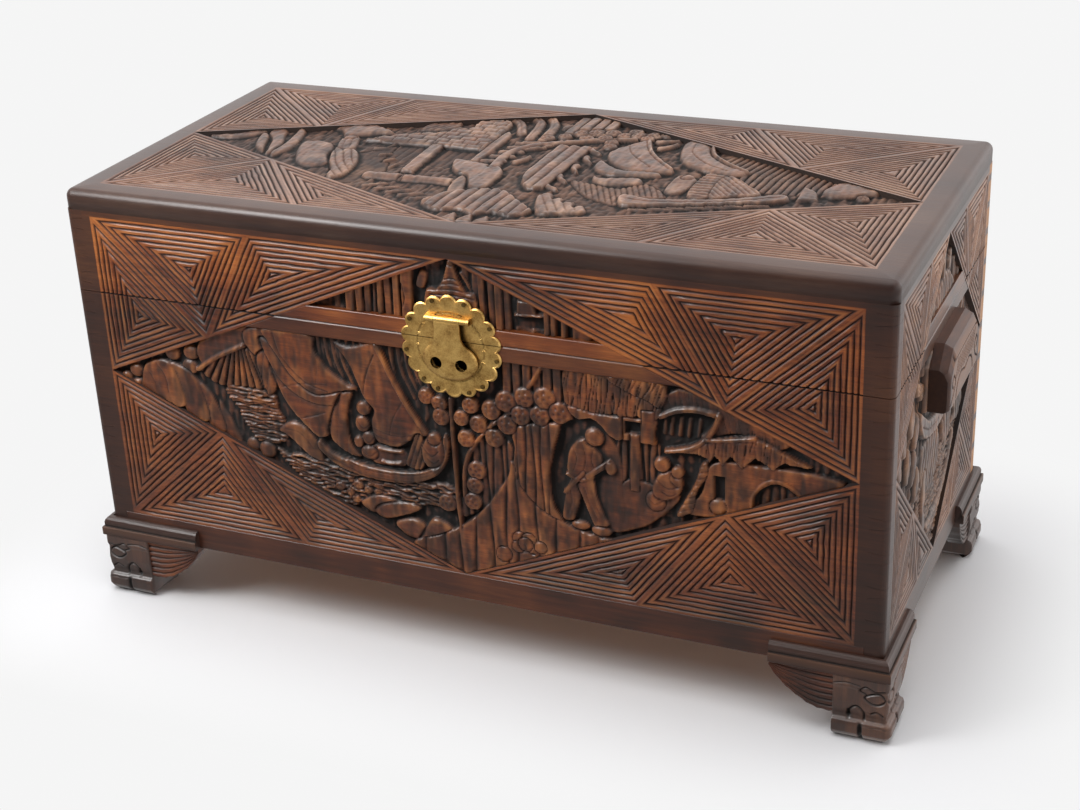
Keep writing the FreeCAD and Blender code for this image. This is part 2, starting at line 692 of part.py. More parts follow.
footScrewAt = (f"{halfLength} - board_thk - foot_screw_inset", f"-{halfDepth} + board_thk + foot_screw_inset",
               "foot_height + bottom_thk")
footScrew, footHole = screwSet("foot", [footScrewAt], "-z",
                               "foot_screw_length", "foot_screw_radius", "foot_screw_head")
wingFront = f"{halfDepth} + wing_proud"
wingOut = f"{halfLength} + wing_proud"
footPieces = {
    "foot_paw": cut("paw_bored", pawBlock(), [footHole]),
    "foot_front_wing": wing("front_wing", "XZ_Plane", "", footIn, "wing_length", wingFront),
    "foot_end_wing": wing("end_wing", "YZ_Plane", "-", footRear, "wing_end_length", wingOut),
    "foot_front_moulding": frontMoulding,
    "foot_end_moulding": endMoulding,
}


# The same piece at the four corners, front right first.
def fourCorners(name, piece):
    left = mirror(name + "_left", piece, "x")
    return {"front_right": piece, "front_left": left,
            "rear_right": mirror(name + "_rear", piece, "y"),
            "rear_left": mirror(name + "_rear_left", left, "y")}


for name, piece in footPieces.items():
    for corner, copy in fourCorners(name, piece).items():
        finish(name.replace("foot", corner + "_foot").replace("foot_front", "foot_long"), copy)
footHoles = group("foot_holes_all", list(fourCorners("foot_hole", footHole).values()))
finish("foot_screws", group("foot_screws_all", list(fourCorners("foot_screw", footScrew).values())))
for name, plank in planks.items():
    finish(f"bottom_plank_{name}", cut(f"plank_{name}_bored", plank, [footHoles] if name != "middle" else []))

# Handles: a bevelled block on each end, hollowed underneath for the fingers
handle = newBody("handle")
handleFace = newSketch(handle, "handle_outline", "YZ_Plane", halfLength)
polygons(handleFace, [handleOutline])
pad(handle, handleFace, "handle_stand")
handleBox = handle.Shape.BoundBox


def onHandleFace(edge):
    return edge.BoundBox.XMin > handleBox.XMax - sizes["pick_slack"]


def onHandleTop(edge):
    return onHandleFace(edge) and edge.CenterOfMass.z > handleBox.ZMax - sizes["handle_cut_fall"]


def onHandleFoot(edge):
    return onHandleFace(edge) and edge.CenterOfMass.z < handleBox.ZMin + sizes["pick_slack"]


soften(handle, "Chamfer", "handle_bevel", onHandleTop)
soften(handle, "Fillet", "handle_round", onHandleFoot)
grip = newSketch(handle, "handle_grip", "XY_Plane", handleBase)
polygons(grip, [[(halfLength, "-grip_length / 2"), (f"{halfLength} + grip_width", "-grip_length / 2"),
                 (f"{halfLength} + grip_width", "grip_length / 2"), (halfLength, "grip_length / 2")]])
pocket(handle, grip, "grip_depth", outward=True)
handleScrewZ = f"{handleBase} + handle_screw_rise"
handleScrewPlaces = [(f"{halfLength} - board_thk", f"{side}handle_screw_spread / 2", handleScrewZ)
                     for side in ("-", "")]
handleScrews, handleHoles = screwSet("handle", handleScrewPlaces, "x", "handle_screw_length")
handleHolesLeft = mirror("handle_holes_left", handleHoles, "x")
rightHandle = cut("handle_bored", handle, [handleHoles])
finish("right_handle", rightHandle)
finish("left_handle", mirror("handle_left", rightHandle, "x"))
handleScrewsLeft = mirror("handle_screws_left", handleScrews, "x")
finish("handle_screws", group("handle_screws_all", [handleScrews, handleScrewsLeft]))

# Lock plate: a scalloped disc sawn in two along the seam
plate = newBody("lock_plate")
plateDisc = newSketch(plate, "plate_disc", "XZ_Plane", halfDepth, plateZ)
circle(plateDisc, "plate_radius - petal_radius")
pad(plate, plateDisc, "plate_thk")
petal = newSketch(plate, "plate_petal", "XZ_Plane", halfDepth, plateZ)
circle(petal, "petal_radius", "plate_radius - petal_radius")
petals = plate.newObject("PartDesign::PolarPattern", "plate_petals")
petals.Originals = [pad(plate, petal, "plate_thk")]
petals.Axis = (petal, ["N_Axis"])
petals.Angle = 360
petals.Occurrences = petalCount
plate.Tip = petals
doc.recompute()
plateSpan = "(2 * plate_radius + 2 * overrun)"
plateFace = f"({halfDepth} + plate_thk)"


def plateSide(name, base, height):
    side = box(name, (plateSpan, "plate_thk + overrun", height),
               (f"-{plateSpan} / 2", f"-{plateFace} - overrun", base))
    return common(name + "_half", [plate, side])


# Round-headed nails on a circle about the plate's centre.
def nailSet(name, angles):
    made = []
    for grow, kind in (("0", "nail"), ("screw_clearance", "hole")):
        nails = []
        for angle in angles:
            across = f"nail_circle * cos({angle} deg)"
            level = f"{plateZ} + nail_circle * sin({angle} deg)"
            at = (across, f"-{plateFace}", level)
            shank = rod(f"{name}_{kind}_{angle}", f"nail_radius + {grow}", f"nail_length + {grow}", at, "y")
            if kind == "nail":
                head = rod(f"{name}_head_{angle}", "nail_head", "nail_head_thk", at, "-y")
                shank = fuse(f"{name}_{kind}_{angle}_whole", [shank, head])
            nails.append(shank)
        made.append(group(f"{name}_{kind}s", nails))
    return made


upperNails, upperHoles = nailSet("upper_plate", upperNailAngles)
lowerNails, lowerHoles = nailSet("lower_plate", lowerNailAngles)

# Hasp: a rolled knuckle between two ears of the upper plate, a neck and a raised lobe with two holes
pivotY = f"({plateFace} + hasp_stand)"
pivotZ = f"({seam} + hasp_rise)"
earSpan = "(hasp_knuckle_length / 2 + knuckle_gap)"
ears = []
for side, start in (("right", earSpan), ("left", f"-{earSpan} - ear_length")):
    ears.append(rod(f"ear_{side}", "hasp_knuckle_radius", "ear_length", (start, f"-{pivotY}", pivotZ), "x"))
    ears.append(box(f"ear_{side}_root", ("ear_length", "hasp_stand", "hasp_knuckle_radius"),
                    (start, f"-{pivotY}", f"{pivotZ} - hasp_knuckle_radius / 2")))
pinSpan = f"(2 * {earSpan} + 2 * ear_length)"
haspPin = rod("hasp_pin_rod", "hasp_pin_radius", pinSpan, (f"-{pinSpan} / 2", f"-{pivotY}", pivotZ), "x")
pinBore = rod("hasp_pin_bore", "hasp_pin_radius + pin_clearance", f"{pinSpan} + 2 * overrun",
              (f"-{pinSpan} / 2 - overrun", f"-{pivotY}", pivotZ), "x")
upperPlate = fuse("upper_plate_eared", [plateSide("upper_plate", lidBase, "2 * plate_radius")] + ears)
finish("lock_plate_upper", cut("upper_plate_bored", upperPlate, [pinBore, upperHoles]))
finish("lock_plate_lower", cut("lower_plate_bored", plateSide("lower_plate", f"{seam} - 2 * plate_radius",
                                                              "2 * plate_radius"), [lowerHoles]))
finish("upper_plate_nails", upperNails)
finish("lower_plate_nails", lowerNails)
finish("hasp_pin", haspPin)

haspProud = "(hasp_stand + hasp_knuckle_radius)"
lobeZ = f"({pivotZ} - hasp_lobe_drop)"
lobeDepth = f"({haspProud} - hasp_float)"


# A round cover with sloping sides and a flat top, open towards the plate.
def lobeCone(name, shrink):
    cone = doc.addObject("Part::Cone", name)
    bind(cone, Radius1=f"hasp_lobe_radius - {shrink}",
         Radius2=f"hasp_lobe_radius - hasp_lobe_slope - {shrink}", Height=f"{lobeDepth} - {shrink}")
    return place(cone, ("0", f"-{plateFace} - hasp_float", lobeZ), "-y")


lobe = cut("hasp_lobe", lobeCone("lobe_outside", "0"), [lobeCone("lobe_inside", "hasp_thk")])
neck = box("hasp_neck", ("hasp_knuckle_length", "hasp_thk", f"{pivotZ} - {lobeZ}"),
           ("-hasp_knuckle_length / 2", f"-({plateFace} + {haspProud} - neck_inset)", lobeZ))
knuckle = rod("hasp_knuckle", "hasp_knuckle_radius", "hasp_knuckle_length",
              ("-hasp_knuckle_length / 2", f"-{pivotY}", pivotZ), "x")
haspHoles = [rod(f"hasp_hole_{side}", "hasp_hole_radius", f"{haspProud} + 2 * overrun",
                 (f"{sign}hasp_hole_spread / 2", f"-({plateFace} + {haspProud} + overrun)", lobeZ), "y")
             for side, sign in (("right", ""), ("left", "-"))]
haspBlank = fuse("hasp_blank", [knuckle, neck, lobe])
finish("hasp", cut("hasp_bored", haspBlank, [pinBore] + haspHoles))

# Back hinges: the right one, mirrored to the left
leafStart = "(hinge_place - leaf_length / 2)"
knucklePitch = f"(leaf_length / {knuckleCount})"


def barrels(name, which, radius, slack):
    return [rod(f"{name}_{i}", radius, f"{knucklePitch} - 2 * {slack}",
                (f"{leafStart} + {i} * {knucklePitch} + {slack}", axisY, axisZ), "x") for i in which]


hingePin = rod("hinge_pin", "hinge_pin_radius", "leaf_length", (leafStart, axisY, axisZ), "x")
hingeBore = rod("hinge_bore", "hinge_pin_radius + pin_clearance", "leaf_length + 2 * overrun",
                (f"{leafStart} - overrun", axisY, axisZ), "x")
bodyKnuckles = range(0, knuckleCount, 2)
lidKnuckles = range(1, knuckleCount, 2)


def hingeLeaf(name, base, mine, other, holes):
    flat = box(name + "_flat", ("leaf_length", "leaf_thk", "leaf_height"), (leafStart, halfDepth, base))
    reliefs = barrels(name + "_relief", other, "barrel_radius + knuckle_relief", "0")
    notched = cut(name + "_notched", flat, reliefs)
    knuckles = barrels(name + "_knuckle", mine, "barrel_radius", "knuckle_gap / 2")
    whole = fuse(name + "_whole", [notched] + knuckles)
    return cut(name + "_bored", whole, [hingeBore, holes])


def leafScrewPlaces(level):
    return [(f"hinge_place + {share} * leaf_screw_spread", f"{halfDepth} + leaf_thk", level)
            for share in leafScrewShares]


bodyLeafScrews, bodyLeafHoles = screwSet("body_leaf", leafScrewPlaces(f"{axisZ} - leaf_screw_drop"), "-y")
lidLeafScrews, lidLeafHoles = screwSet("lid_leaf", leafScrewPlaces(f"{axisZ} + leaf_screw_drop"), "-y")
hingePieces = {
    "hinge_body_leaf": hingeLeaf("body_leaf", f"{axisZ} - leaf_height",
                                 bodyKnuckles, lidKnuckles, bodyLeafHoles),
    "hinge_lid_leaf": hingeLeaf("lid_leaf", axisZ, lidKnuckles, bodyKnuckles, lidLeafHoles),
    "hinge_pin": hingePin,
}
for name, piece in hingePieces.items():
    finish("right_" + name, piece)
    finish("left_" + name, mirror(name + "_left", piece, "x"))
for name, screws in (("hinge_body_screws", bodyLeafScrews), ("hinge_lid_screws", lidLeafScrews)):
    finish(name, group(name + "_all", [screws, mirror(name + "_left", screws, "x")]))

# Lid stay: two flat arms, one on a bracket of the box and one on a bracket of the lid, folded forwards
wallX = f"({halfLength} - board_thk)"
footY = f"({axisY} - stay_foot_back)"
footZ = f"({axisZ} - stay_foot_drop)"
headY = f"({axisY} - stay_head_back)"
headZ = f"({axisZ} + stay_head_rise)"
spanY = f"({headY} - {footY})"
spanZ = f"({headZ} - {footZ})"
span = f"sqrt({spanY} ^ 2 + {spanZ} ^ 2)"
elbowLift = f"sqrt(stay_arm ^ 2 - {span} ^ 2 / 4)"
elbowY = f"(({footY} + {headY}) / 2 - {elbowLift} * {spanZ} / {span})"
elbowZ = f"(({footZ} + {headZ}) / 2 + {elbowLift} * {spanY} / {span})"
layer = "(stay_thk + stay_layer_gap)"
lowerArmX = f"({wallX} - bracket_thk - {layer})"
upperArmX = f"({lowerArmX} - {layer})"


# A flat bar with round ends and a bore at its first end, laid from one pivot to the elbow.
def stayArm(name, x, startY, startZ, riveted=False):
    flat = box(name + "_flat", ("stay_thk", "stay_arm", "stay_width"), ("0", "0", "-stay_width / 2"))
    ends = [rod(f"{name}_end_{i}", "stay_width / 2", "stay_thk", ("0", at, "0"), "x")
            for i, at in enumerate(("0", "stay_arm"))]
    bore = rod(name + "_bore", "stay_pin_radius + pin_clearance", "stay_thk + 2 * overrun",
               ("-overrun", "0", "0"), "x")
    if riveted:
        ends.append(rod(name + "_rivet", "stay_cap_radius", "stay_cap_thk", ("0", "stay_arm", "0"), "-x"))
    arm = cut(name + "_bored", fuse(name + "_blank", [flat] + ends), [bore])
    place(arm, (x, startY, startZ))
    arm.Placement.Rotation.Axis = Vector(1, 0, 0)
    arm.setExpression("Placement.Rotation.Angle", linked(f"atan2({elbowZ} - {startZ}; {elbowY} - {startY})"))
    return arm


# A screwed plate with a riveted pivot stud that carries one arm.
def stayBracket(name, y, z, armX, holes):
    flat = box(name + "_flat", ("bracket_thk", "bracket_length", "bracket_height"),
               (f"{wallX} - bracket_thk", f"{y} - bracket_length / 2", f"{z} - bracket_height / 2"))
    stud = rod(name + "_stud", "stay_pin_radius", f"{wallX} - bracket_thk - {armX} + stay_layer_gap",
               (f"{armX} - stay_layer_gap", y, z), "x")
    cap = rod(name + "_cap", "stay_cap_radius", "stay_cap_thk", (f"{armX} - stay_layer_gap", y, z), "-x")
    return fuse(name + "_whole", [cut(name + "_bored", flat, [holes]), stud, cap])


def bracketScrews(name, y, z):
    return screwSet(name, [(f"{wallX} - bracket_thk", f"{y} + {share} * bracket_screw_spread", z)
                           for share in bracketScrewShares], "x")


footScrews, footScrewHoles = bracketScrews("stay_foot", footY, footZ)
headScrews, headScrewHoles = bracketScrews("stay_head", headY, headZ)
finish("stay_lower_arm", stayArm("lower_arm", lowerArmX, footY, footZ))
finish("stay_upper_arm", stayArm("upper_arm", upperArmX, headY, headZ, riveted=True))
finish("stay_body_bracket", stayBracket("stay_foot_bracket", footY, footZ, lowerArmX, footScrewHoles))
finish("stay_lid_bracket", stayBracket("stay_head_bracket", headY, headZ, upperArmX, headScrewHoles))
finish("stay_body_screws", footScrews)
finish("stay_lid_screws", headScrews)

# Box boards with their rebate, lock seat and bored holes, inside the rounded corners
mirroredHinge = {name: mirror(name + "_holes_left", holes, "x")
                 for name, holes in (("body_leaf", bodyLeafHoles), ("lid_leaf", lidLeafHoles))}


def board(node, blank, envelopeBody, tools):
    return finish(node, cut(node + "_cut", common(node + "_trimmed", [blank, envelopeBody]), tools))


dowelHoles = dowels["dowel_hole"]
bodyFrontSeated = fuse("body_front_seated", [bodyFront, lockSeat])
lidFrontSeated = fuse("lid_front_seated", [lidFront, lockSeat])
board("body_front_board", bodyFrontSeated, bodyEnvelope, [rebate, lowerHoles])
board("body_back_board", bodyBack, bodyEnvelope, [rebate, bodyLeafHoles, mirroredHinge["body_leaf"]])
board("body_right_end", bodyEnd, bodyEnvelope, [rebate, handleHoles, footScrewHoles])
board("body_left_end", mirror("body_end_left", bodyEnd, "x"), bodyEnvelope, [rebate, handleHolesLeft])
board("lid_front_board", lidFrontSeated, lidEnvelope, [upperHoles, dowelHoles])
board("lid_back_board", lidBack, lidEnvelope, [lidLeafHoles, mirroredHinge["lid_leaf"], dowelHoles])
board("lid_right_end", lidEnd, lidEnvelope, [headScrewHoles, dowelHoles])
board("lid_left_end", mirror("lid_end_left", lidEnd, "x"), lidEnvelope, [dowelHoles])
finish("lid_top_front_plank", cut("top_front_bored", topFront, [dowelHoles]))
finish("lid_top_rear_plank", cut("top_rear_bored", topRear, [dowelHoles]))
finish("lid_top_dowels", dowels["dowel"])

doc.recompute()
for thing in doc.Objects:
    if "Invalid" in thing.State or "Error" in thing.State:
        raise RuntimeError(f"{thing.Label} did not rebuild: {thing.State}")
os.makedirs("parts", exist_ok=True)
for node in nodes:
    if node.Shape.isNull() or not node.Shape.isValid():
        raise RuntimeError(node.Label + " has no valid shape")
for node in nodes:
    node.Shape.exportStep(f"parts/{node.Label}.step")
    print(f"{node.Label}: {len(node.Shape.Solids)} solids, {node.Shape.Volume / 1000:.1f} cm3")
print(len(nodes), "nodes")
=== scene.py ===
import math

import bmesh
import bpy
import numpy as np
from mathutils import Matrix, Vector
from mathutils.geometry import delaunay_2d_cdt


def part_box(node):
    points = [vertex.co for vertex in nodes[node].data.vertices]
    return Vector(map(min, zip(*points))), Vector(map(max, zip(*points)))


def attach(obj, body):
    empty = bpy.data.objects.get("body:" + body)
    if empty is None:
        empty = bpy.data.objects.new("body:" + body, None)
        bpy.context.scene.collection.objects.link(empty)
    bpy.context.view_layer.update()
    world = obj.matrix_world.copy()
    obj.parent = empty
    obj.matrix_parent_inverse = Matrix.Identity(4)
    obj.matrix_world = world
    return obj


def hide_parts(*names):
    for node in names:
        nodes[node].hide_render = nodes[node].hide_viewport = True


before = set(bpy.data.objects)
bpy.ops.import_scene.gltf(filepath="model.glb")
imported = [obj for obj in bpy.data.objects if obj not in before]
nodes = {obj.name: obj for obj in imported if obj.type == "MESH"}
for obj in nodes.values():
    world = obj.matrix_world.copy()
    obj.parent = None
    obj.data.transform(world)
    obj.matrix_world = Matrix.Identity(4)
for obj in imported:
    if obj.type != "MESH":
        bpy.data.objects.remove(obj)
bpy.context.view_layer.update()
mm = 0.001
dice = np.random.default_rng(58)


def inMm(node):
    low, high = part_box(node)
    return np.array(low) / mm, np.array(high) / mm


# Levels and reaches of the box, read from the frame
bodyLow, bodyHigh = inMm("body_front_board")
lidLow, lidHigh = inMm("lid_front_board")
case = {
    "halfLength": bodyHigh[0],
    "halfDepth": -bodyLow[1],
    "thick": bodyHigh[1] - bodyLow[1],
    "base": bodyLow[2],
    "bodyTop": bodyHigh[2],
    "lidBase": lidLow[2],
    "lidTop": lidHigh[2],
    "top": inMm("lid_top_front_plank")[1][2],
    "floorTop": inMm("bottom_plank_middle")[1][2],
    "rear": inMm("body_back_board")[1][1],
    "cornerRadius": 7.0,
}


# Colour written as sRGB hex, turned to linear
def srgb(text):
    values = [int(text[i:i + 2], 16) / 255 for i in (1, 3, 5)]
    return [v / 12.92 if v <= 0.04045 else ((v + 0.055) / 1.055) ** 2.4 for v in values] + [1.0]


# Links what comes from another node, and sets the rest
def feed(tree, node, inputs):
    for socket, value in inputs.items():
        if isinstance(value, bpy.types.NodeSocket):
            tree.links.new(value, node.inputs[socket])
        else:
            node.inputs[socket].default_value = value


# Adds one node, with what feeds its sockets and its settings
def addNode(tree, kind, inputs=None, **settings):
    node = tree.nodes.new("ShaderNode" + kind)
    for name, value in settings.items():
        setattr(node, name, value)
    feed(tree, node, inputs or {})
    return node


def newMaterial(name):
    material = bpy.data.materials.new(name)
    material.use_nodes = True
    tree = material.node_tree
    return material, tree, tree.nodes["Principled BSDF"]


def setRamp(ramp, stops):
    elements = ramp.color_ramp.elements
    while len(elements) > 2:
        elements.remove(elements[-1])
    for i, (place, colour) in enumerate(stops):
        element = elements[i] if i < 2 else elements.new(place)
        element.position = place
        element.color = srgb(colour)


# The space of a pattern that follows the grain, from its length and width in millimetres
def grainSpace(tree, place, axis, longSize, wideSize):
    scale = [1 / (wideSize * mm)] * 3
    scale[axis] = 1 / (longSize * mm)
    return addNode(tree, "Mapping", {"Vector": place, "Scale": scale}).outputs["Vector"]


# Stained and waxed camphor wood: long streaks of red and brown, near-black in every cut from stain and
# painted shade, lighter on the high places from wear and a painted highlight, with a soft shine
camphor = {
    "tones": ((0.28, "#34160a"), (0.45, "#6b3013"), (0.6, "#8f481b"), (0.78, "#b3652a")),
    "stain": "#2b1d18",
    "groove": "#070403",
    "worn": "#bd7a42",
    "lowerGrey": "#5c4a42",
    "streakLong": 90.0,
    "streakWide": 4.5,
    "streaks": 0.5,
    "patch": 90.0,
    "patches": 0.9,
    "shift": -0.14,
    "poreLong": 16.0,
    "poreWide": 0.9,         # real pores are about 0.2 mm wide, drawn wider so that they show
    "poreDark": 0.26,
    "poreDeep": 0.4,
    "darkeningFrom": 0.42,        # heights in metres between which the wood turns darker and greyer
    "darkeningTo": 0.12,
    "lowerDarkness": 0.1,
    "greying": 2.2,
    "rough": (0.33, 0.95),   # on the face and in the cuts
    "shine": 0.22,
    "coat": 0.04,
    "coatRough": 0.25,
}


def stainedCamphor(name, axis, look=camphor):
    material, tree, shader = newMaterial(name)
    place = addNode(tree, "TexCoord").outputs["Object"]
    long = grainSpace(tree, place, axis, look["streakLong"], look["streakWide"])
    fine = grainSpace(tree, place, axis, look["poreLong"], look["poreWide"])
    streak = addNode(tree, "TexNoise", {"Vector": long, "Scale": 1.0, "Detail": 4.0,
                                        "Roughness": 0.6}).outputs["Fac"]
    pore = addNode(tree, "TexNoise", {"Vector": fine, "Scale": 1.0, "Detail": 2.0}).outputs["Fac"]
    patch = addNode(tree, "TexNoise", {"Vector": place, "Scale": 1 / (look["patch"] * mm), "Detail": 2.0})
    tone = addNode(tree, "Math", {0: streak, 1: look["streaks"], 2: look["shift"]}, operation="MULTIPLY_ADD")
    tone = addNode(tree, "Math", {0: patch.outputs["Fac"], 1: look["patches"], 2: tone.outputs[0]},
                   operation="MULTIPLY_ADD")
    # the lower parts are darker and greyer
    height = addNode(tree, "SeparateXYZ", {"Vector": place})
    lowerDarkening = addNode(tree, "MapRange", {"Value": height.outputs["Z"], "From Min": look["darkeningTo"],
                                      "From Max": look["darkeningFrom"], "To Min": look["lowerDarkness"],
                                      "To Max": 0.0})
    tone = addNode(tree, "Math", {0: tone.outputs[0], 1: lowerDarkening.outputs[0]}, operation="SUBTRACT")
    ramp = addNode(tree, "ValToRGB", {"Fac": tone.outputs[0]})
    setRamp(ramp, look["tones"])
    dark = addNode(tree, "MapRange", {"Value": pore, "From Min": 0.42, "From Max": 0.62,
                                      "To Min": look["poreDark"], "To Max": 0.0})
    grey = addNode(tree, "Math", {0: lowerDarkening.outputs[0], 1: look["greying"]}, operation="MULTIPLY")
    worn, stain, sunk = (addNode(tree, "Attribute", attribute_name=mark).outputs["Fac"]
                         for mark in ("worn", "stain", "sunk"))
    # the sunk mark mixes in the groove colour as painted shade in the cuts; the worn mark mixes in the worn
    # colour as wear with a painted highlight
    colour = ramp.outputs["Color"]
    for share, tint in ((dark.outputs[0], "stain"), (worn, "worn"), (grey.outputs[0], "lowerGrey"),
                        (stain, "stain"), (sunk, "groove")):
        colour = addNode(tree, "MixRGB", {"Fac": share, "Color1": colour,
                                          "Color2": srgb(look[tint])}).outputs["Color"]
    face, cuts = look["rough"]
    rough = addNode(tree, "MapRange", {"Value": sunk, "To Min": face, "To Max": cuts})
    rough = addNode(tree, "Math", {0: streak, 1: 0.12, 2: rough.outputs[0]}, operation="MULTIPLY_ADD")
    bump = addNode(tree, "Bump", {"Height": pore, "Strength": 0.25, "Distance": look["poreDeep"] * mm})
    feed(tree, shader, {"Base Color": colour, "Roughness": rough.outputs[0], "Normal": bump.outputs["Normal"],
                        "Specular IOR Level": look["shine"], "Coat Weight": look["coat"],
                        "Coat Roughness": look["coatRough"]})
    return material


# Bare planed camphor of the inside: dull, warm tan with fine pores
rawCamphor = {"tones": ((0.0, "#7a4f33"), (0.5, "#a5744c"), (1.0, "#bb8d63")), "ringLong": 240.0,
              "ringWide": 9.0, "poreLong": 14.0, "poreWide": 0.8, "pores": 0.3, "shift": -0.12,
              "poreDeep": 0.3, "rough": (0.5, 0.7), "outside": "#35231a", "soaked": 0.72, "skin": (2.0, 0.5)}


def bareCamphor(name, axis, stainedFrom=None):
    material, tree, shader = newMaterial(name)
    look = rawCamphor
    place = addNode(tree, "TexCoord").outputs["Object"]
    long = grainSpace(tree, place, axis, look["ringLong"], look["ringWide"])
    fine = grainSpace(tree, place, axis, look["poreLong"], look["poreWide"])
    ring = addNode(tree, "TexNoise", {"Vector": long, "Scale": 1.0, "Detail": 5.0, "Distortion": 0.6})
    pore = addNode(tree, "TexNoise", {"Vector": fine, "Scale": 1.0, "Detail": 2.0}).outputs["Fac"]
    tone = addNode(tree, "Math", {0: pore, 1: look["pores"], 2: look["shift"]}, operation="MULTIPLY_ADD")
    tone = addNode(tree, "Math", {0: ring.outputs["Fac"], 1: tone.outputs[0]}, operation="ADD")
    ramp = addNode(tree, "ValToRGB", {"Fac": tone.outputs[0]})
    setRamp(ramp, look["tones"])
    colour = ramp.outputs["Color"]
    if stainedFrom is not None:
        # the outer skin of a plain board took the stain
        deep, shallow = look["skin"]
        depth = addNode(tree, "SeparateXYZ", {"Vector": place})
        skin = addNode(tree, "MapRange", {"Value": depth.outputs["Y"], "From Min": (stainedFrom - deep) * mm,
                                          "From Max": (stainedFrom - shallow) * mm})
        dull = addNode(tree, "MixRGB", {"Fac": look["soaked"], "Color1": colour,
                                        "Color2": srgb(look["outside"])})
        colour = addNode(tree, "MixRGB", {"Fac": skin.outputs[0], "Color1": colour,
                                          "Color2": dull.outputs["Color"]}).outputs["Color"]
    rough = addNode(tree, "MapRange", {"Value": pore, "To Min": look["rough"][0], "To Max": look["rough"][1]})
    bump = addNode(tree, "Bump", {"Height": pore, "Strength": 0.2, "Distance": look["poreDeep"] * mm})
    feed(tree, shader, {"Base Color": colour, "Roughness": rough.outputs[0],
                        "Normal": bump.outputs["Normal"]})
    return material


# Old sheet brass, once lacquered: yellow where it is handled, brown and dull in the low places
# hole: near-black, the painted shadow inside the hasp's holes; dull mixes it into the nails as well
brass = {"bright": "#c29e5e", "middle": "#987642", "tarnish": "#4a3719", "hole": "#0b0806", "blot": 14.0,
         "speck": 1.6, "specks": 0.35, "dents": 0.3, "rough": (0.52, 0.3)}


def agedBrass(name, dull=0.0):
    material, tree, shader = newMaterial(name)
    place = addNode(tree, "TexCoord").outputs["Object"]
    blot = addNode(tree, "TexNoise", {"Vector": place, "Scale": 1 / (brass["blot"] * mm), "Detail": 6.0,
                                      "Roughness": 0.7})
    speck = addNode(tree, "TexNoise", {"Vector": place, "Scale": 1 / (brass["speck"] * mm), "Detail": 3.0})
    mixed = addNode(tree, "Math", {0: speck.outputs["Fac"], 1: brass["specks"], 2: blot.outputs["Fac"]},
                    operation="MULTIPLY_ADD")
    ramp = addNode(tree, "ValToRGB", {"Fac": mixed.outputs[0]})
    setRamp(ramp, ((0.38, brass["tarnish"]), (0.58, brass["middle"]), (0.8, brass["bright"])))
    sunk = addNode(tree, "Attribute", attribute_name="sunk")
    colour = addNode(tree, "MixRGB", {"Fac": sunk.outputs["Fac"], "Color1": ramp.outputs["Color"],
                                      "Color2": srgb(brass["tarnish"])})
    # the stain mark paints the shadow inside the hasp's holes near-black
    stain = addNode(tree, "Attribute", attribute_name="stain")
    dark = addNode(tree, "Math", {0: stain.outputs["Fac"], 1: dull}, operation="MAXIMUM")
    colour = addNode(tree, "MixRGB", {"Fac": dark.outputs[0], "Color1": colour.outputs["Color"],
                                      "Color2": srgb(brass["hole"])})
    rough = addNode(tree, "MapRange", {"Value": mixed.outputs[0], "From Min": 0.4, "From Max": 0.9,
                                       "To Min": brass["rough"][0], "To Max": brass["rough"][1]})
    bump = addNode(tree, "Bump", {"Height": mixed.outputs[0], "Strength": 0.3,
                                  "Distance": brass["dents"] * mm})
    feed(tree, shader, {"Base Color": colour.outputs["Color"], "Roughness": rough.outputs[0],
                        "Normal": bump.outputs["Normal"], "Metallic": 1.0})
    return material


# Drawn steel screws, gone grey
steel = {"light": "#8d8a84", "dark": "#4b4743", "blot": 2.5, "rough": (0.55, 0.3)}


def greySteel(name):
    material, tree, shader = newMaterial(name)
    place = addNode(tree, "TexCoord").outputs["Object"]
    blot = addNode(tree, "TexNoise", {"Vector": place, "Scale": 1 / (steel["blot"] * mm), "Detail": 4.0})
    ramp = addNode(tree, "ValToRGB", {"Fac": blot.outputs["Fac"]})
    setRamp(ramp, ((0.35, steel["dark"]), (0.7, steel["light"])))
    rough = addNode(tree, "MapRange", {"Value": blot.outputs["Fac"], "To Min": steel["rough"][0],
                                       "To Max": steel["rough"][1]})
    feed(tree, shader, {"Base Color": ramp.outputs["Color"], "Roughness": rough.outputs[0], "Metallic": 1.0})
    return material


# The ends and feet get greyer tones, which paint in a grey sheen, and more shine; the handles get darker
# tones
greyedWithPaintedSheen = dict(camphor, tones=((0.28, "#2c160e"), (0.45, "#58321f"), (0.6, "#7d4d30"), (0.78, "#a36f49")),
                 worn="#b98b66", shine=0.42)
darkerHandleTones = dict(camphor, tones=((0.28, "#22100a"), (0.45, "#482416"), (0.6, "#6b3b22"), (0.78, "#945a34")))
# The same wood where it was left plain: the mouldings, stained nearly black
plainBorder = dict(camphor, tones=((0.25, "#1d100c"), (0.5, "#351d16"), (0.8, "#4d2d23")))
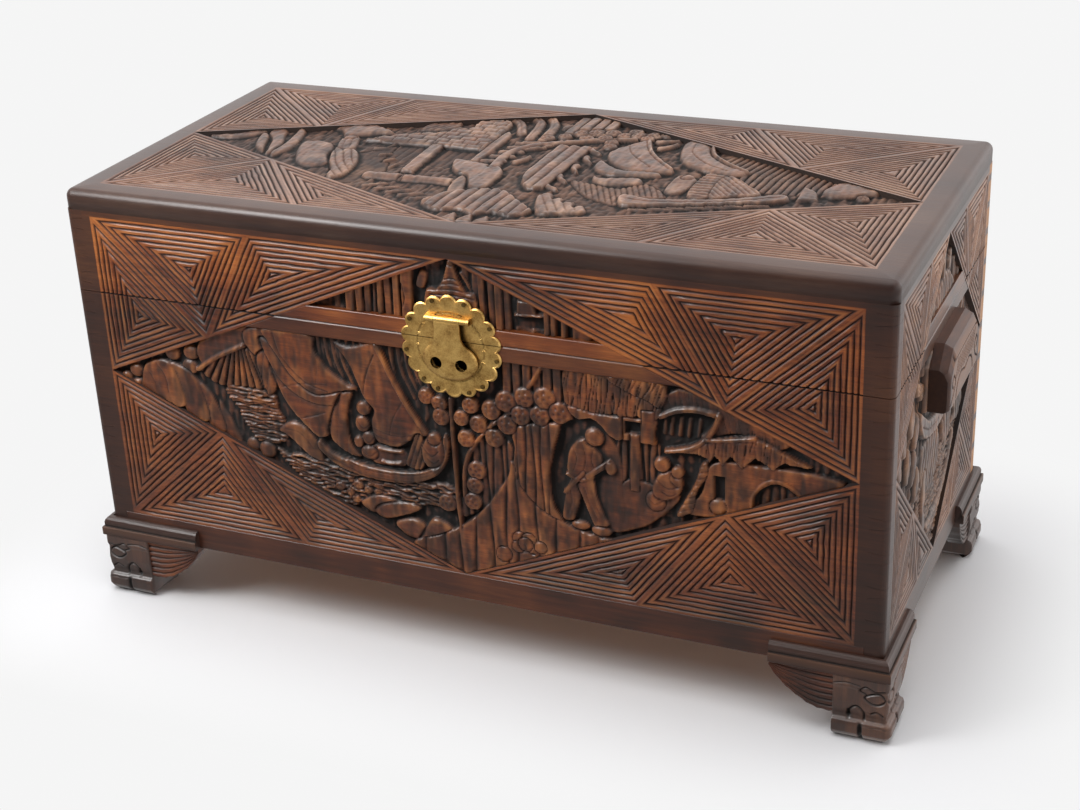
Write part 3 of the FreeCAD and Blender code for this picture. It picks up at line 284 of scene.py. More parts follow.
# The top has greyer tones and less red
greyerTop = dict(camphor, tones=((0.28, "#34211a"), (0.45, "#593829"), (0.6, "#734c38"), (0.78, "#8c664f")),
                worn="#a88670", stain="#2a1813")
materials = {
    "topWood": stainedCamphor("camphor_greyer_top", 0, greyerTop),
    "borderLong": stainedCamphor("camphor_border_long", 0, plainBorder),
    "borderEnd": stainedCamphor("camphor_border_ends", 1, plainBorder),
    "longWood": stainedCamphor("camphor_stained_long", 0),
    "endWood": stainedCamphor("camphor_stained_ends", 1, greyedWithPaintedSheen),
    "uprightWood": stainedCamphor("camphor_stained_upright", 2, greyedWithPaintedSheen),
    "handleWood": stainedCamphor("camphor_handles", 1, darkerHandleTones),
    "bareLong": bareCamphor("camphor_bare_long", 0),
    "bareEnd": bareCamphor("camphor_bare_ends", 1),
    "backWood": bareCamphor("camphor_back", 0, case["rear"]),
    "brass": agedBrass("brass_aged"),
    "brassDull": agedBrass("brass_dull", 0.75),
    "steel": greySteel("steel_grey"),
}
print("materials made")


# Carved panels: u to the right, v up, h out of the face, all in millimetres
def panelMatrix(right, up, out, origin):
    return np.array([right, up, out, origin], float).T


panels = {
    "front": panelMatrix((1, 0, 0), (0, 0, 1), (0, -1, 0), (0, -case["halfDepth"], 0)),
    "right": panelMatrix((0, 1, 0), (0, 0, 1), (1, 0, 0), (case["halfLength"], 0, 0)),
    "left": panelMatrix((0, -1, 0), (0, 0, 1), (-1, 0, 0), (-case["halfLength"], 0, 0)),
    "top": panelMatrix((1, 0, 0), (0, 1, 0), (0, 0, 1), (0, 0, case["top"])),
}
marks = ("sunk", "stain", "worn")


# Gathers the shells of one piece and makes one mesh of them
class Piece:
    def __init__(self):
        self.points, self.loops, self.counts, self.smooth, self.finish = [], [], [], [], []
        self.marks = {mark: [] for mark in marks}
        self.total = 0

    def add(self, points, faces, smooth=False, finish=0, **given):
        points = np.asarray(points, float)
        counts = [len(face) for face in faces]
        self.points.append(points)
        self.loops.append(np.concatenate(faces) + self.total)
        self.counts.append(counts)
        self.smooth.append(np.full(len(counts), smooth))
        self.finish.append(np.broadcast_to(finish, len(counts)))
        for mark in marks:
            self.marks[mark].append(np.broadcast_to(given.get(mark, 0.0), len(points)))
        self.total += len(points)

    def build(self, name, body, slot, replaced, panel, looks):
        points = np.vstack(self.points)
        world = points @ panel[:, :3].T + panel[:, 3]
        loops = np.concatenate(self.loops).astype(np.int32)
        counts = np.concatenate(self.counts).astype(np.int32)
        mesh = bpy.data.meshes.new(name)
        mesh.vertices.add(len(points))
        mesh.vertices.foreach_set("co", (world * mm).astype(np.float32).ravel())
        mesh.loops.add(len(loops))
        mesh.loops.foreach_set("vertex_index", loops)
        mesh.polygons.add(len(counts))
        starts = np.concatenate(([0], np.cumsum(counts)[:-1])).astype(np.int32)
        mesh.polygons.foreach_set("loop_start", starts)
        mesh.polygons.foreach_set("use_smooth", np.concatenate(self.smooth))
        mesh.polygons.foreach_set("material_index", np.concatenate(self.finish).astype(np.int32))
        for mark in marks:
            attribute = mesh.attributes.new(mark, "FLOAT", "POINT")
            attribute.data.foreach_set("value", np.concatenate(self.marks[mark]).astype(np.float32))
        mesh.update(calc_edges=True)
        mesh.validate()
        for look in looks:
            mesh.materials.append(materials[look])
        thing = bpy.data.objects.new(name, mesh)
        bpy.context.scene.collection.objects.link(thing)
        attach(thing, body)
        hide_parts(*replaced)
        print("made", name, len(counts), "faces")
        return thing


# Quads between closed rings of points that follow one another
def bands(rings, count):
    faces = []
    for low in range(0, (rings - 1) * count, count):
        for i in range(count):
            j = (i + 1) % count
            faces.append((low + i, low + j, low + count + j, low + count + i))
    return faces


# The same, closed at the first and the last ring
def tube(rings, count):
    last = (rings - 1) * count
    return bands(rings, count) + [tuple(range(count))[::-1], tuple(range(last, last + count))]


# Points on an arc, or on an oval if its height is given
def arc(middle, radius, angles, tall=None):
    return [(middle[0] + radius * math.cos(a), middle[1] + (tall or radius) * math.sin(a)) for a in angles]


# A flat-sided block between two heights, over a convex outline that runs anticlockwise
def prism(piece, outline, low, high, ease=0.0, backFinish=0, **given):
    outline = np.asarray(outline, float)
    count = len(outline)
    rings = [(outline, low), (outline, high)]
    if ease:
        rings = [(outline, low), (outline, high - ease), (inset(outline, ease), high)]
    points = np.vstack([np.column_stack([ring, np.full(count, level)]) for ring, level in rings])
    faces = tube(len(rings), count)
    finish = np.zeros(len(faces), int)
    finish[-2] = backFinish
    piece.add(points, faces, finish=finish, **given)


# A convex outline moved inwards
def inset(outline, distance):
    moved = []
    for before, here, after in zip(np.roll(outline, 1, 0), outline, np.roll(outline, -1, 0)):
        first = (here - before) / np.linalg.norm(here - before)
        second = (after - here) / np.linalg.norm(after - here)
        corner = np.array([-first[1] - second[1], first[0] + second[0]])
        moved.append(here + corner * distance / (1 + first @ second))
    return np.array(moved)


def rectangle(left, low, right, high):
    return [(left, low), (right, low), (right, high), (left, high)]


# A smooth line through a few points, closed or open; a point given twice makes a corner
def curve(flat, closed=True, steps=6):
    points = np.asarray(flat, float).reshape(-1, 2)
    count = len(points)
    made = []
    for i in range(count if closed else count - 1):
        if closed:
            a, b, c, d = (points[(i + k) % count] for k in (-1, 0, 1, 2))
        else:
            a, b, c, d = (points[min(max(i + k, 0), count - 1)] for k in (-1, 0, 1, 2))
        if np.allclose(b, c):
            continue
        for t in np.arange(steps) / steps:
            made.append(0.5 * (2 * b + (c - a) * t + (2 * a - 5 * b + 4 * c - d) * t ** 2
                               + (3 * b - a - 3 * c + d) * t ** 3))
    if not closed:
        made.append(points[-1])
    return np.array(made)


# An outline that has a corner at every point
def corners(*flat):
    return np.repeat(np.reshape(flat, (-1, 2)), 2, 0)


# Distance from each grid point to a line, and whether it lies inside
def lineDistance(line, u, v, closed=True):
    nearest = np.full(u.shape, np.inf)
    inside = np.zeros(u.shape, bool)
    ends = np.roll(line, -1, 0) if closed else line[1:]
    for (au, av), (bu, bv) in zip(line, ends):
        du, dv = bu - au, bv - av
        share = np.clip(((u - au) * du + (v - av) * dv) / max(du * du + dv * dv, 1e-9), 0, 1)
        nearest = np.minimum(nearest, (u - au - share * du) ** 2 + (v - av - share * dv) ** 2)
        if closed and av != bv:
            inside ^= ((av > v) != (bv > v)) & (u < au + (v - av) * du / dv)
    return np.sqrt(nearest), inside


# A grid of values, evened out over some cells each way
def blur(grid, reach, rounds=2):
    for _ in range(rounds):
        for axis, cells in enumerate((reach, reach) if isinstance(reach, int) else reach):
            padded = np.concatenate([np.repeat(np.take(grid, [0], axis), cells + 1, axis), grid,
                                     np.repeat(np.take(grid, [-1], axis), cells, axis)], axis)
            total = np.cumsum(padded, axis)
            width = 2 * cells + 1
            count = grid.shape[axis]
            grid = (np.take(total, range(width, width + count), axis)
                    - np.take(total, range(count), axis)) / width
    return grid


# Cuts over a raised form, as depths
def flutes(angle, pitch, depth, sway=0.0):
    turn = math.radians(angle)

    def cut(u, v):
        along = u * math.cos(turn) + v * math.sin(turn)
        across = v * math.cos(turn) - u * math.sin(turn)
        return depth * (1 - np.abs(np.sin(math.pi * (across + sway * np.sin(along / 17)) / pitch))) ** 1.6
    return cut


def rays(centreU, centreV, count, depth):
    def cut(u, v):
        return depth * (1 - np.abs(np.sin(np.arctan2(v - centreV, u - centreU) * count))) ** 1.6
    return cut


# Thatch and rough boards: scratches of uneven width and depth
def scratches(angle, pitch, depth):
    turn = math.radians(angle)

    def cut(u, v):
        along = u * math.cos(turn) + v * math.sin(turn)
        across = v * math.cos(turn) - u * math.sin(turn)
        course = across / pitch
        wave = course + 0.45 * np.sin(across / 6.1) + 0.2 * np.sin(along / 7.0 + 1.9 * np.floor(course))
        deep = 0.55 + 0.45 * np.sin(2.4 * np.floor(wave) + along / 8.0)
        return depth * deep * np.clip((np.abs(wave % 1 - 0.5) * 2 - 0.35) / 0.65, 0, 1)
    return cut


# Upright cuts at given places, with rounded shoulders
def slits(places, width, depth, sway=1.5):
    def cut(u, v):
        total = np.zeros(u.shape)
        for i, place in enumerate(places):
            away = np.abs(u - place - sway * np.sin(v / 23 + 2.1 * i))
            total = np.maximum(total, depth * np.clip(1 - away / width, 0, 1) ** 2.2)
        return total
    return cut


def shingles(length, height, depth):
    def cut(u, v):
        row = np.floor(v / height)
        joint = np.abs(((u + row * length * 0.47) / length) % 1 - 0.5) * 2
        course = 1 - (v / height) % 1
        return depth * np.maximum(np.clip((joint - 0.86) / 0.14, 0, 1), course ** 3)
    return cut


# Tool marks, stain and wear of the carving, with painted shade in its hollows and a painted highlight on its
# raised edges:
# heights and reaches in millimetres, the rest shares of a colour
agingAndPaintedLight = {"highest": -0.02, "rim": -3.4, "shadeReach": 5.0, "shadeDeep": 3.0, "shade": 1.3, "deep": 0.5,
          "edgeReach": 2.8, "edgeHigh": 2.6, "edge": 0.35, "rubbedAndHighlit": 0.28, "rubbedAndHighlitAbove": -3.6, "stain": 0.34}


# Depths of the stop cuts, in millimetres, and how far the forms are rounded
gouge = {"stopCut": 3.6, "shoulder": 0.42, "stripCut": 2.5, "stripRound": 0.6, "bossCut": 3.5,
         "petalDeep": 1.5}


# A sunk ground on a grid, and the carver's ways of raising forms on it
class Relief:
    # the fifth argument scales the painted shade of the hollows and the stain
    def __init__(self, low, high, step, ground, shadeAndStain=1.0):
        self.step = step
        self.soft = 1.7 * step   # the edge of a form is softened over this width
        self.shadeAndStain = shadeAndStain
        self.ground = ground
        self.u, self.v = np.meshgrid(np.arange(low[0], high[0] + step, step),
                                     np.arange(low[1], high[1] + step, step))
        gouges, strokes = (blur(dice.normal(size=self.u.shape), reach) for reach in (2, (7, 1)))
        self.h = -ground + 0.3 * gouges / gouges.std() + np.clip(0.5 * strokes / strokes.std(), -0.4, 1.6)

    # The part of the grid round a line
    def window(self, line, margin):
        (lowU, lowV), (highU, highV) = line.min(0) - margin, line.max(0) + margin
        rows = slice(np.searchsorted(self.v[:, 0], lowV, "right"), np.searchsorted(self.v[:, 0], highV))
        columns = slice(np.searchsorted(self.u[0], lowU, "right"), np.searchsorted(self.u[0], highU))
        return rows, columns

    # A raised form with rounded shoulders, and a stop cut round it
    def block(self, outline, top, edge=2.0, crown=0.0, tilt=(0.0, 0.0), moat=1.9, cut=None, sharp=False):
        line = np.asarray(outline, float).reshape(-1, 2) if sharp else curve(outline)
        area = self.window(line, moat + self.step)
        u, v, h = self.u[area], self.v[area], self.h[area]
        gap, inside = lineDistance(line, u, v)
        full = np.clip(0.5 + np.where(inside, gap, -gap) / self.soft, 0, 1)
        middle = line.mean(0)
        level = top + tilt[0] * (u - middle[0]) + tilt[1] * (v - middle[1])
        if moat:
            near = ~inside & (gap < moat)
            h[near] = np.minimum(h, level - gouge["stopCut"] * (1 - gap / moat))[near]
        level = level - gouge["shoulder"] * edge * (1 - np.minimum(gap / edge, 1)) ** 2
        if crown:
            reach = max(gap[inside].max(), 1e-6) if inside.any() else 1.0
            level = level + crown * (np.sqrt(np.clip(1 - (1 - gap / reach) ** 2, 0, 1)) - 1)
        if cut:
            level = level - cut(u, v)
        h += (np.clip(level, -self.ground - 1.0, -0.05) - h) * full

    # A round-backed strip along a line, tapering to its end
    def strip(self, line, width, top, taper=1.0, moat=1.5):
        path = curve(line, closed=False)
        area = self.window(path, width + moat)
        u, v, h = self.u[area], self.v[area], self.h[area]
        gap, _ = lineDistance(path, u, v, closed=False)
        if taper != 1.0:
            span = path[-1] - path[0]
            share = np.clip(((u - path[0, 0]) * span[0] + (v - path[0, 1]) * span[1]) / (span @ span), 0, 1)
            half = width / 2 * (1 + (taper - 1) * share)
        else:
            half = np.full(u.shape, width / 2)
        near = (gap >= half) & (gap < half + moat)
        h[near] = np.minimum(h, top - gouge["stripCut"] * (1 - (gap - half) / moat))[near]
        level = top - gouge["stripRound"] * half * (1 - np.sqrt(np.clip(1 - (gap / half) ** 2, 0, 1)))
        h += (level - h) * np.clip(0.5 + (half - gap) / self.soft, 0, 1)

    # A thin cut along a line
    def groove(self, line, width, depth):
        path = curve(line, closed=False)
        area = self.window(path, width)
        gap, _ = lineDistance(path, self.u[area], self.v[area], closed=False)
        self.h[area] -= depth * np.clip(1 - gap / (width / 2), 0, 1)

    # A round boss: a stone, a head, or a blossom with petals cut into it
    def boss(self, u, v, radius, top, flat=0.45, tall=1.0, blossom=False):
        line = np.array([(u - radius, v - radius * tall), (u + radius, v + radius * tall)])
        area = self.window(line, 3.0)
        h = self.h[area]
        away = np.hypot(self.u[area] - u, (self.v[area] - v) / tall) / radius
        near = (away >= 1) & (away < 1 + 1.7 / radius)
        h[near] = np.minimum(h, top - gouge["bossCut"] + 1.5 * (away - 1) * radius)[near]
        level = top - radius * flat * (1 - np.sqrt(np.clip(1 - away ** 2, 0, 1)))
        if blossom:
            turn = np.arctan2(self.v[area] - v, self.u[area] - u) + 0.7 * u + 0.3 * v
            turn = (turn + math.pi / 5) % (2 * math.pi / 5) - math.pi / 5
            pit = np.hypot(away * np.cos(turn) - 0.52, away * np.sin(turn))
            level = level - gouge["petalDeep"] * np.clip(1.2 - np.minimum(pit, away) / 0.2, 0, 1)
        h += (level - h) * np.clip(0.5 + (1 - away) * radius / self.soft, 0, 1)

    # Water: rows of thin strokes of uneven length over a sunk bed
    def water(self, outline, top, pitch=3.9, slope=0.0):
        self.block(outline, top - 3.4, edge=1, moat=1.2)
        line = curve(outline)
        for v in np.arange(line[:, 1].min() + 2, line[:, 1].max() - 1, pitch):
            across = np.arange(line[:, 0].min(), line[:, 0].max())
            wet = across[lineDistance(line, across, np.full(len(across), v))[1]]
            u = wet.min() if len(wet) else 1e6
            while len(wet) and u < wet.max() - 4:
                long = min(dice.uniform(12, 36), wet.max() - u)
                rise = v + dice.uniform(-0.8, 0.8)
                self.strip((u, rise, u + 0.35 * long, rise + dice.uniform(-0.4, 1.2), u + 0.7 * long,
                            rise + slope * long + dice.uniform(-1.2, 0.5), u + long, rise + slope * long),
                           dice.uniform(2.3, 3.6), top + dice.uniform(-1.6, 0.5), taper=0.5, moat=0.9)
                u += long + dice.uniform(0.2, 3)

    # Tool marks, then the painted shade of the hollows, and the raised edges and high places made lighter as
    # wear with a painted highlight
    def settle(self, reach):
        def mottle(*cells):
            noise = blur(dice.normal(size=self.h.shape), cells)
            return noise / noise.std()

        def evened(distance):
            return blur(self.h, max(int(distance / self.step), 1))
        self.h += 0.07 * mottle(1, 1) + 0.18 * mottle(6, 1)
        self.h = np.minimum(self.h, agingAndPaintedLight["highest"])
        outside = reach(self.u, self.v) > 0.3
        self.h[outside] = np.minimum(self.h, agingAndPaintedLight["rim"])[outside]
        shade = np.clip((evened(agingAndPaintedLight["shadeReach"]) - self.h) / agingAndPaintedLight["shadeDeep"], 0, 1)
        depth = np.clip(-self.h / self.ground, 0, 1)
        # sunk: painted shade, from the local shading of each cut and from the depth of the ground
        self.sunk = np.clip(self.shadeAndStain * (agingAndPaintedLight["shade"] * shade + agingAndPaintedLight["deep"] * depth ** 2), 0, 0.98)
        # worn: raised edges and patches on the high places made lighter, wear with a painted highlight
        edges = np.clip((self.h - evened(agingAndPaintedLight["edgeReach"]) - 0.1) / agingAndPaintedLight["edgeHigh"], 0, agingAndPaintedLight["edge"])
        rubbedAndHighlit = agingAndPaintedLight["rubbedAndHighlit"] * np.clip(mottle(9, 4) - 0.3, 0, 1.4)
        self.worn = edges + rubbedAndHighlit * (self.h > agingAndPaintedLight["rubbedAndHighlitAbove"])
        uneven = agingAndPaintedLight["stain"] * self.shadeAndStain + 0.17 * mottle(5, 5) + 0.15 * mottle(8, 1) + 0.08 * mottle(2, 1)
        self.stain = np.clip(uneven, 0, 0.85)

    # The carved sheet over the cells that lie within reach
    def sheet(self, piece, reach, rows=slice(None)):
        u, v, h = self.u[rows], self.v[rows], self.h[rows]
        kept = reach(u, v) < 1.3
        wide = u.shape[1]
        index = np.arange(u.size).reshape(u.shape)
        whole = kept[:-1, :-1] | kept[1:, :-1] | kept[:-1, 1:] | kept[1:, 1:]
        first = index[:-1, :-1][whole]
        faces = np.column_stack([first, first + 1, first + wide + 1, first + wide])
        used = np.unique(faces)
        lookup = np.zeros(u.size, int)
        lookup[used] = np.arange(len(used))
        points = np.column_stack([u.ravel(), v.ravel(), h.ravel()])[used]
        piece.add(points, lookup[faces], smooth=True, sunk=self.sunk[rows].ravel()[used],
                  worn=self.worn[rows].ravel()[used], stain=self.stain[rows].ravel()[used])


# Chevron fields: V-cuts that follow the three sides of each triangle
chevron = {"worn": 0.45, "pitch": 5.8, "firstRidge": 1.4, "span": 22.0, "wander": 0.22, "uneven": 0.18,
           # along one pitch: place, depth and painted shade of a rounded ridge and the V-cut beside it
           "profile": ((0.0, 0.0, 0.0), (0.15, 0.1, 0.0), (0.27, 0.5, 0.2), (0.4, 1.4, 0.75),
                       (0.5, 2.1, 0.95), (0.6, 1.4, 0.75), (0.73, 0.5, 0.2), (0.85, 0.1, 0.0))}


# How far a point lies outside a lozenge, in millimetres
def lozengeReach(run, rise, middle, low=-1e6, high=1e6):
    slope = math.hypot(1 / run, 1 / rise)

    def reach(u, v):
        beyond = (np.abs(u) / run + np.abs(v - middle) / rise - 1) / slope
        return np.maximum(np.maximum(beyond, v - high), low - v)
    return reach


def chevronTriangle(tips):
    tips = np.array(tips, float)
    sides = [np.linalg.norm(tips[(i + 1) % 3] - tips[(i + 2) % 3]) for i in range(3)]
    first, second = tips[1] - tips[0], tips[2] - tips[0]
    area = 0.5 * (first[0] * second[1] - first[1] * second[0])
    if area < 0:
        return chevronTriangle(tips[::-1])
    centre = sum(length * tip for length, tip in zip(sides, tips)) / sum(sides)
    inner = 2 * area / sum(sides)
    rim = []
    for i in range(3):
        start, end = tips[i], tips[(i + 1) % 3]
        pieces = max(2, int(np.linalg.norm(end - start) / chevron["span"]))
        rim += [start + (end - start) * k / pieces for k in range(pieces)]
    rim = np.array(rim)
    count = len(rim)
    insets, depths, sunk, worn = ([np.zeros(count)] for _ in range(4))
    start = chevron["firstRidge"]
    while start + 0.75 * chevron["pitch"] < inner:
        drift = chevron["wander"] * dice.normal(size=count)
        uneven = 1 + chevron["uneven"] * np.clip(dice.normal(size=count), -2, 2)
        # ridge tops are made lighter: wear with a painted highlight
        rubbedAndHighlit = np.clip(0.14 + 0.14 * dice.normal() + 0.1 * dice.normal(size=count), 0, 0.6)
        for share, depth, mark in chevron["profile"]:
            insets.append(np.minimum(start + drift + share * chevron["pitch"], inner - 0.4 * (1 - share)))
            depths.append(-depth * uneven)
            sunk.append(np.full(count, mark))
            worn.append(rubbedAndHighlit * (depth < 0.2))
        start += chevron["pitch"]
    layers = []
    for gap, depth in zip(insets, depths):
        shrunk = centre + (rim - centre) * (1 - gap / inner)[:, None]
        layers.append(np.column_stack([shrunk, depth]))
    points = np.vstack(layers + [np.append(centre, 0.0)[None]])
    last = (len(layers) - 1) * count
    faces = bands(len(layers), count)
    faces += [(last + i, last + (i + 1) % count, len(points) - 1) for i in range(count)]
    sunk, worn = (np.append(np.concatenate(mark), 0.0) for mark in (sunk, worn))
    # random darkening per triangle, which paints in the light differences between the triangles
    stain = np.full(len(points), np.clip(0.06 + 0.1 * dice.normal(), 0, 0.3))
    return points, faces, {"sunk": sunk, "worn": worn, "stain": stain}


# Cuts a shell along a seam and keeps one side of it
def trim(shell, seam):
    level, side = seam
    bmesh.ops.bisect_plane(shell, geom=shell.verts[:] + shell.edges[:] + shell.faces[:], dist=1e-4,
                           plane_co=(0, level, 0), plane_no=(0, side, 0), clear_outer=True)


# The three triangles between a corner of the field and one edge of the lozenge,
# trimmed at a seam if there is one
def chevronCorner(piece, corner, shortTip, longTip, shares, onEdge, back, seam=None):
    corner, shortTip, longTip = (np.array(p, float) for p in (corner, shortTip, longTip))
    onSlope = shortTip + (longTip - shortTip) * shares[0]
    onBorder = np.array([corner[0] + (longTip[0] - corner[0]) * shares[1], corner[1]])
    for triangle in ((corner, shortTip, onSlope), (corner, onSlope, onBorder), (onBorder, onSlope, longTip)):
        points, faces, given = chevronTriangle(triangle)
        shell = bmesh.new()
        layers = {mark: shell.verts.layers.float.new(mark) for mark in given}
        made = [shell.verts.new(p) for p in points]
        for mark, values in given.items():
            for vert, value in zip(made, values):
                vert[layers[mark]] = value
        for face in faces:
            shell.faces.new([made[i] for i in face])
        if seam:
            trim(shell, seam)
        if not shell.faces:
            shell.free()
            continue

        def isRim(edge):
            ends = [vert.co for vert in edge.verts]
            if seam and all(abs(co.y - seam[0]) < 0.01 for co in ends):
                return True
            return all(abs(onEdge(co.x, co.y)) < 0.05 for co in ends)
        rimEdges = [edge for edge in shell.edges if edge.is_boundary and isRim(edge)]
        walls = []
        for edge in rimEdges:
            loop = edge.link_loops[0]
            a, b = loop.vert.co, loop.link_loop_next.vert.co
            walls += [tuple(b), tuple(a), (a.x, a.y, -back), (b.x, b.y, -back)]
        shell.verts.index_update()
        shellPoints = [tuple(vert.co) for vert in shell.verts]
        kept = {mark: [vert[layer] for vert in shell.verts] for mark, layer in layers.items()}
        shellFaces = [tuple(vert.index for vert in face.verts) for face in shell.faces]
        shell.free()
        piece.add(shellPoints, shellFaces, smooth=True, **kept)
        # the walls along the lozenge's edge are painted dark: painted shade
        if walls:
            piece.add(walls, np.arange(len(walls)).reshape(-1, 4), sunk=0.85)


# One keyed end of a board: a block with the box's rounded corner in plan, whose levels follow two lines
def jointKey(piece, section, lows, highs, **given):
    count = len(section)
    points = [(u, level, h) for levels in (lows, highs) for (u, h), level in zip(section, levels)]
    faces = tube(2, count)
    if sum(u * nextH - nextU * h for (u, h), (nextU, nextH) in zip(section, section[1:] + section[:1])) < 0:
        faces = [face[::-1] for face in faces]
    piece.add(points, faces, **given)


# Corner joints: tails on the fronts, pins on the ends
joint = {"pinHalf": 4.2, "rootHalf": 6.5, "bodyPins": 8, "lidPins": 3, "line": 0.22}


def cornerSection(edge, side):
    radius = case["cornerRadius"]
    section = [(edge - case["thick"], -case["thick"]), (edge, -case["thick"])]
    section += arc((edge - radius, -radius), radius, np.linspace(0, math.pi / 2, 6))
    section += [(edge - case["thick"], 0.0)]
    return [(side * u, h) for u, h in section]


# Half the height of a pin, at a distance from the end face of the box
def pinHalf(fromFace):
    return joint["pinHalf"] + (joint["rootHalf"] - joint["pinHalf"]) * fromFace / case["thick"]


def pinMiddles(low, high, count):
    return [low + (high - low) * (i + 0.5) / count for i in range(count)]


# The tails of the front board at one side, between the pins
def tails(piece, low, high, count, side):
    section = cornerSection(case["halfLength"], side)
    half = [pinHalf(case["halfLength"] - abs(u)) + joint["line"] for u, h in section]
    middles = pinMiddles(low, high, count)
    for i in range(count + 1):
        lows = [low] * len(section) if i == 0 else [middles[i - 1] + part for part in half]
        highs = [high] * len(section) if i == count else [middles[i] - part for part in half]
        jointKey(piece, section, lows, highs, stain=0.85)


# The pins of an end board at one side
def pins(piece, low, high, count, side):
    section = cornerSection(case["halfDepth"], side)
    half = [pinHalf(-h) for u, h in section]
    for middle in pinMiddles(low, high, count):
        jointKey(piece, section, [middle - part for part in half], [middle + part for part in half], finish=2,
                 stain=0.85)


# Sides of the box and of the lid
field = {"base": 104.0, "top": 462.0, "frontRun": 420.0, "endRun": 195.0, "back": 12.0,
         "bodyRail": 358.0, "lidRail": 391.8, "ground": 8.0, "endGround": 6.8, "topGround": 6.2}
field["middle"] = (field["base"] + field["top"]) / 2
field["rise"] = (field["top"] - field["base"]) / 2
frontShares = {"topLeft": (0.31, 0.46), "topRight": (0.317, 0.49), "bottomLeft": (0.318, 0.54),
               "bottomRight": (0.317, 0.54)}
endShares = {"topLeft": (0.45, 0.60), "topRight": (0.42, 0.58), "bottomLeft": (0.43, 0.62),
             "bottomRight": (0.45, 0.60)}


def halfAt(run, level):
    return run * (1 - abs(level - field["middle"]) / field["rise"])


def sideChevrons(piece, run, shares, part):
    reach = lozengeReach(run, field["rise"], field["middle"])
    worn = chevron["worn"]   # the cut edges along the seam are worn back
    seam = (case["bodyTop"] - worn, 1) if part == "body" else (case["lidBase"] + worn, -1)
    for name, share in shares.items():
        if part == "lid" and name.startswith("bottom"):
            continue
        side = -1 if name.endswith("Left") else 1
        level = field["base"] if name.startswith("bottom") else field["top"]
        chevronCorner(piece, (side * run, level), (side * run, field["middle"]), (0, level), share, reach,
                      field["back"], seam if name.startswith("top") else None)


def sideBoard(name, node, body, panelName, part, core, run, shares, relief, keys, looks):
    piece = Piece()
    back, thick = field["back"], case["thick"]
    if part == "body":
        low, high = case["base"], case["bodyTop"]
        prism(piece, rectangle(-core, case["floorTop"], core, high), -thick, -back, backFinish=1, stain=0.3)
        prism(piece, rectangle(-core, low, core, field["base"]), -back, 0, ease=0.6, stain=0.6)
        rail = (field["bodyRail"], high)
        count = joint["bodyPins"]
    else:
        low, high = case["lidBase"], case["lidTop"]
        prism(piece, rectangle(-core, low, core, high), -thick, -back, backFinish=1, stain=0.3)
        prism(piece, rectangle(-core, field["top"], core, high), -back, 0, stain=0.8)
        rail = (low, field["lidRail"])
        count = joint["lidPins"]
    for side in (-1, 1):
        if core > run:
            stile = sorted((side * run, side * core))
            prism(piece, rectangle(stile[0], max(low, field["base"]), stile[1], min(high, field["top"])),
                  -back, 0, stain=0.85)
        keys(piece, low, high, count, side)
    lower, upper = (halfAt(run, level) for level in rail)
    prism(piece, [(-lower, rail[0]), (lower, rail[0]), (upper, rail[1]), (-upper, rail[1])], -back, 0,
          ease=1.2 if part == "body" else 0.6, stain=0.6 if part == "body" else 0.25)
    sideChevrons(piece, run, shares, part)
    reachLow, reachHigh = (field["base"], rail[0]) if part == "body" else (rail[1], field["top"])
    reach = lozengeReach(run, field["rise"], field["middle"], reachLow, reachHigh)
    relief.settle(reach)
    scene = Piece()
    relief.sheet(scene, reach)
    scene.build(name + "_scene", body, "carved_camphor", [node], panels[panelName], looks)
    return piece.build(name, body, "carved_camphor", [node], panels[panelName], looks)


# Flat seat under the lock plate
seat = {"middle": (0.0, 368.0), "radius": 50.0}


def plateSeat(relief):
    rim = arc(seat["middle"], seat["radius"], np.linspace(0, 2 * math.pi, 40, endpoint=False))
    relief.block(rim, -0.05, edge=0.5, moat=0, sharp=True)


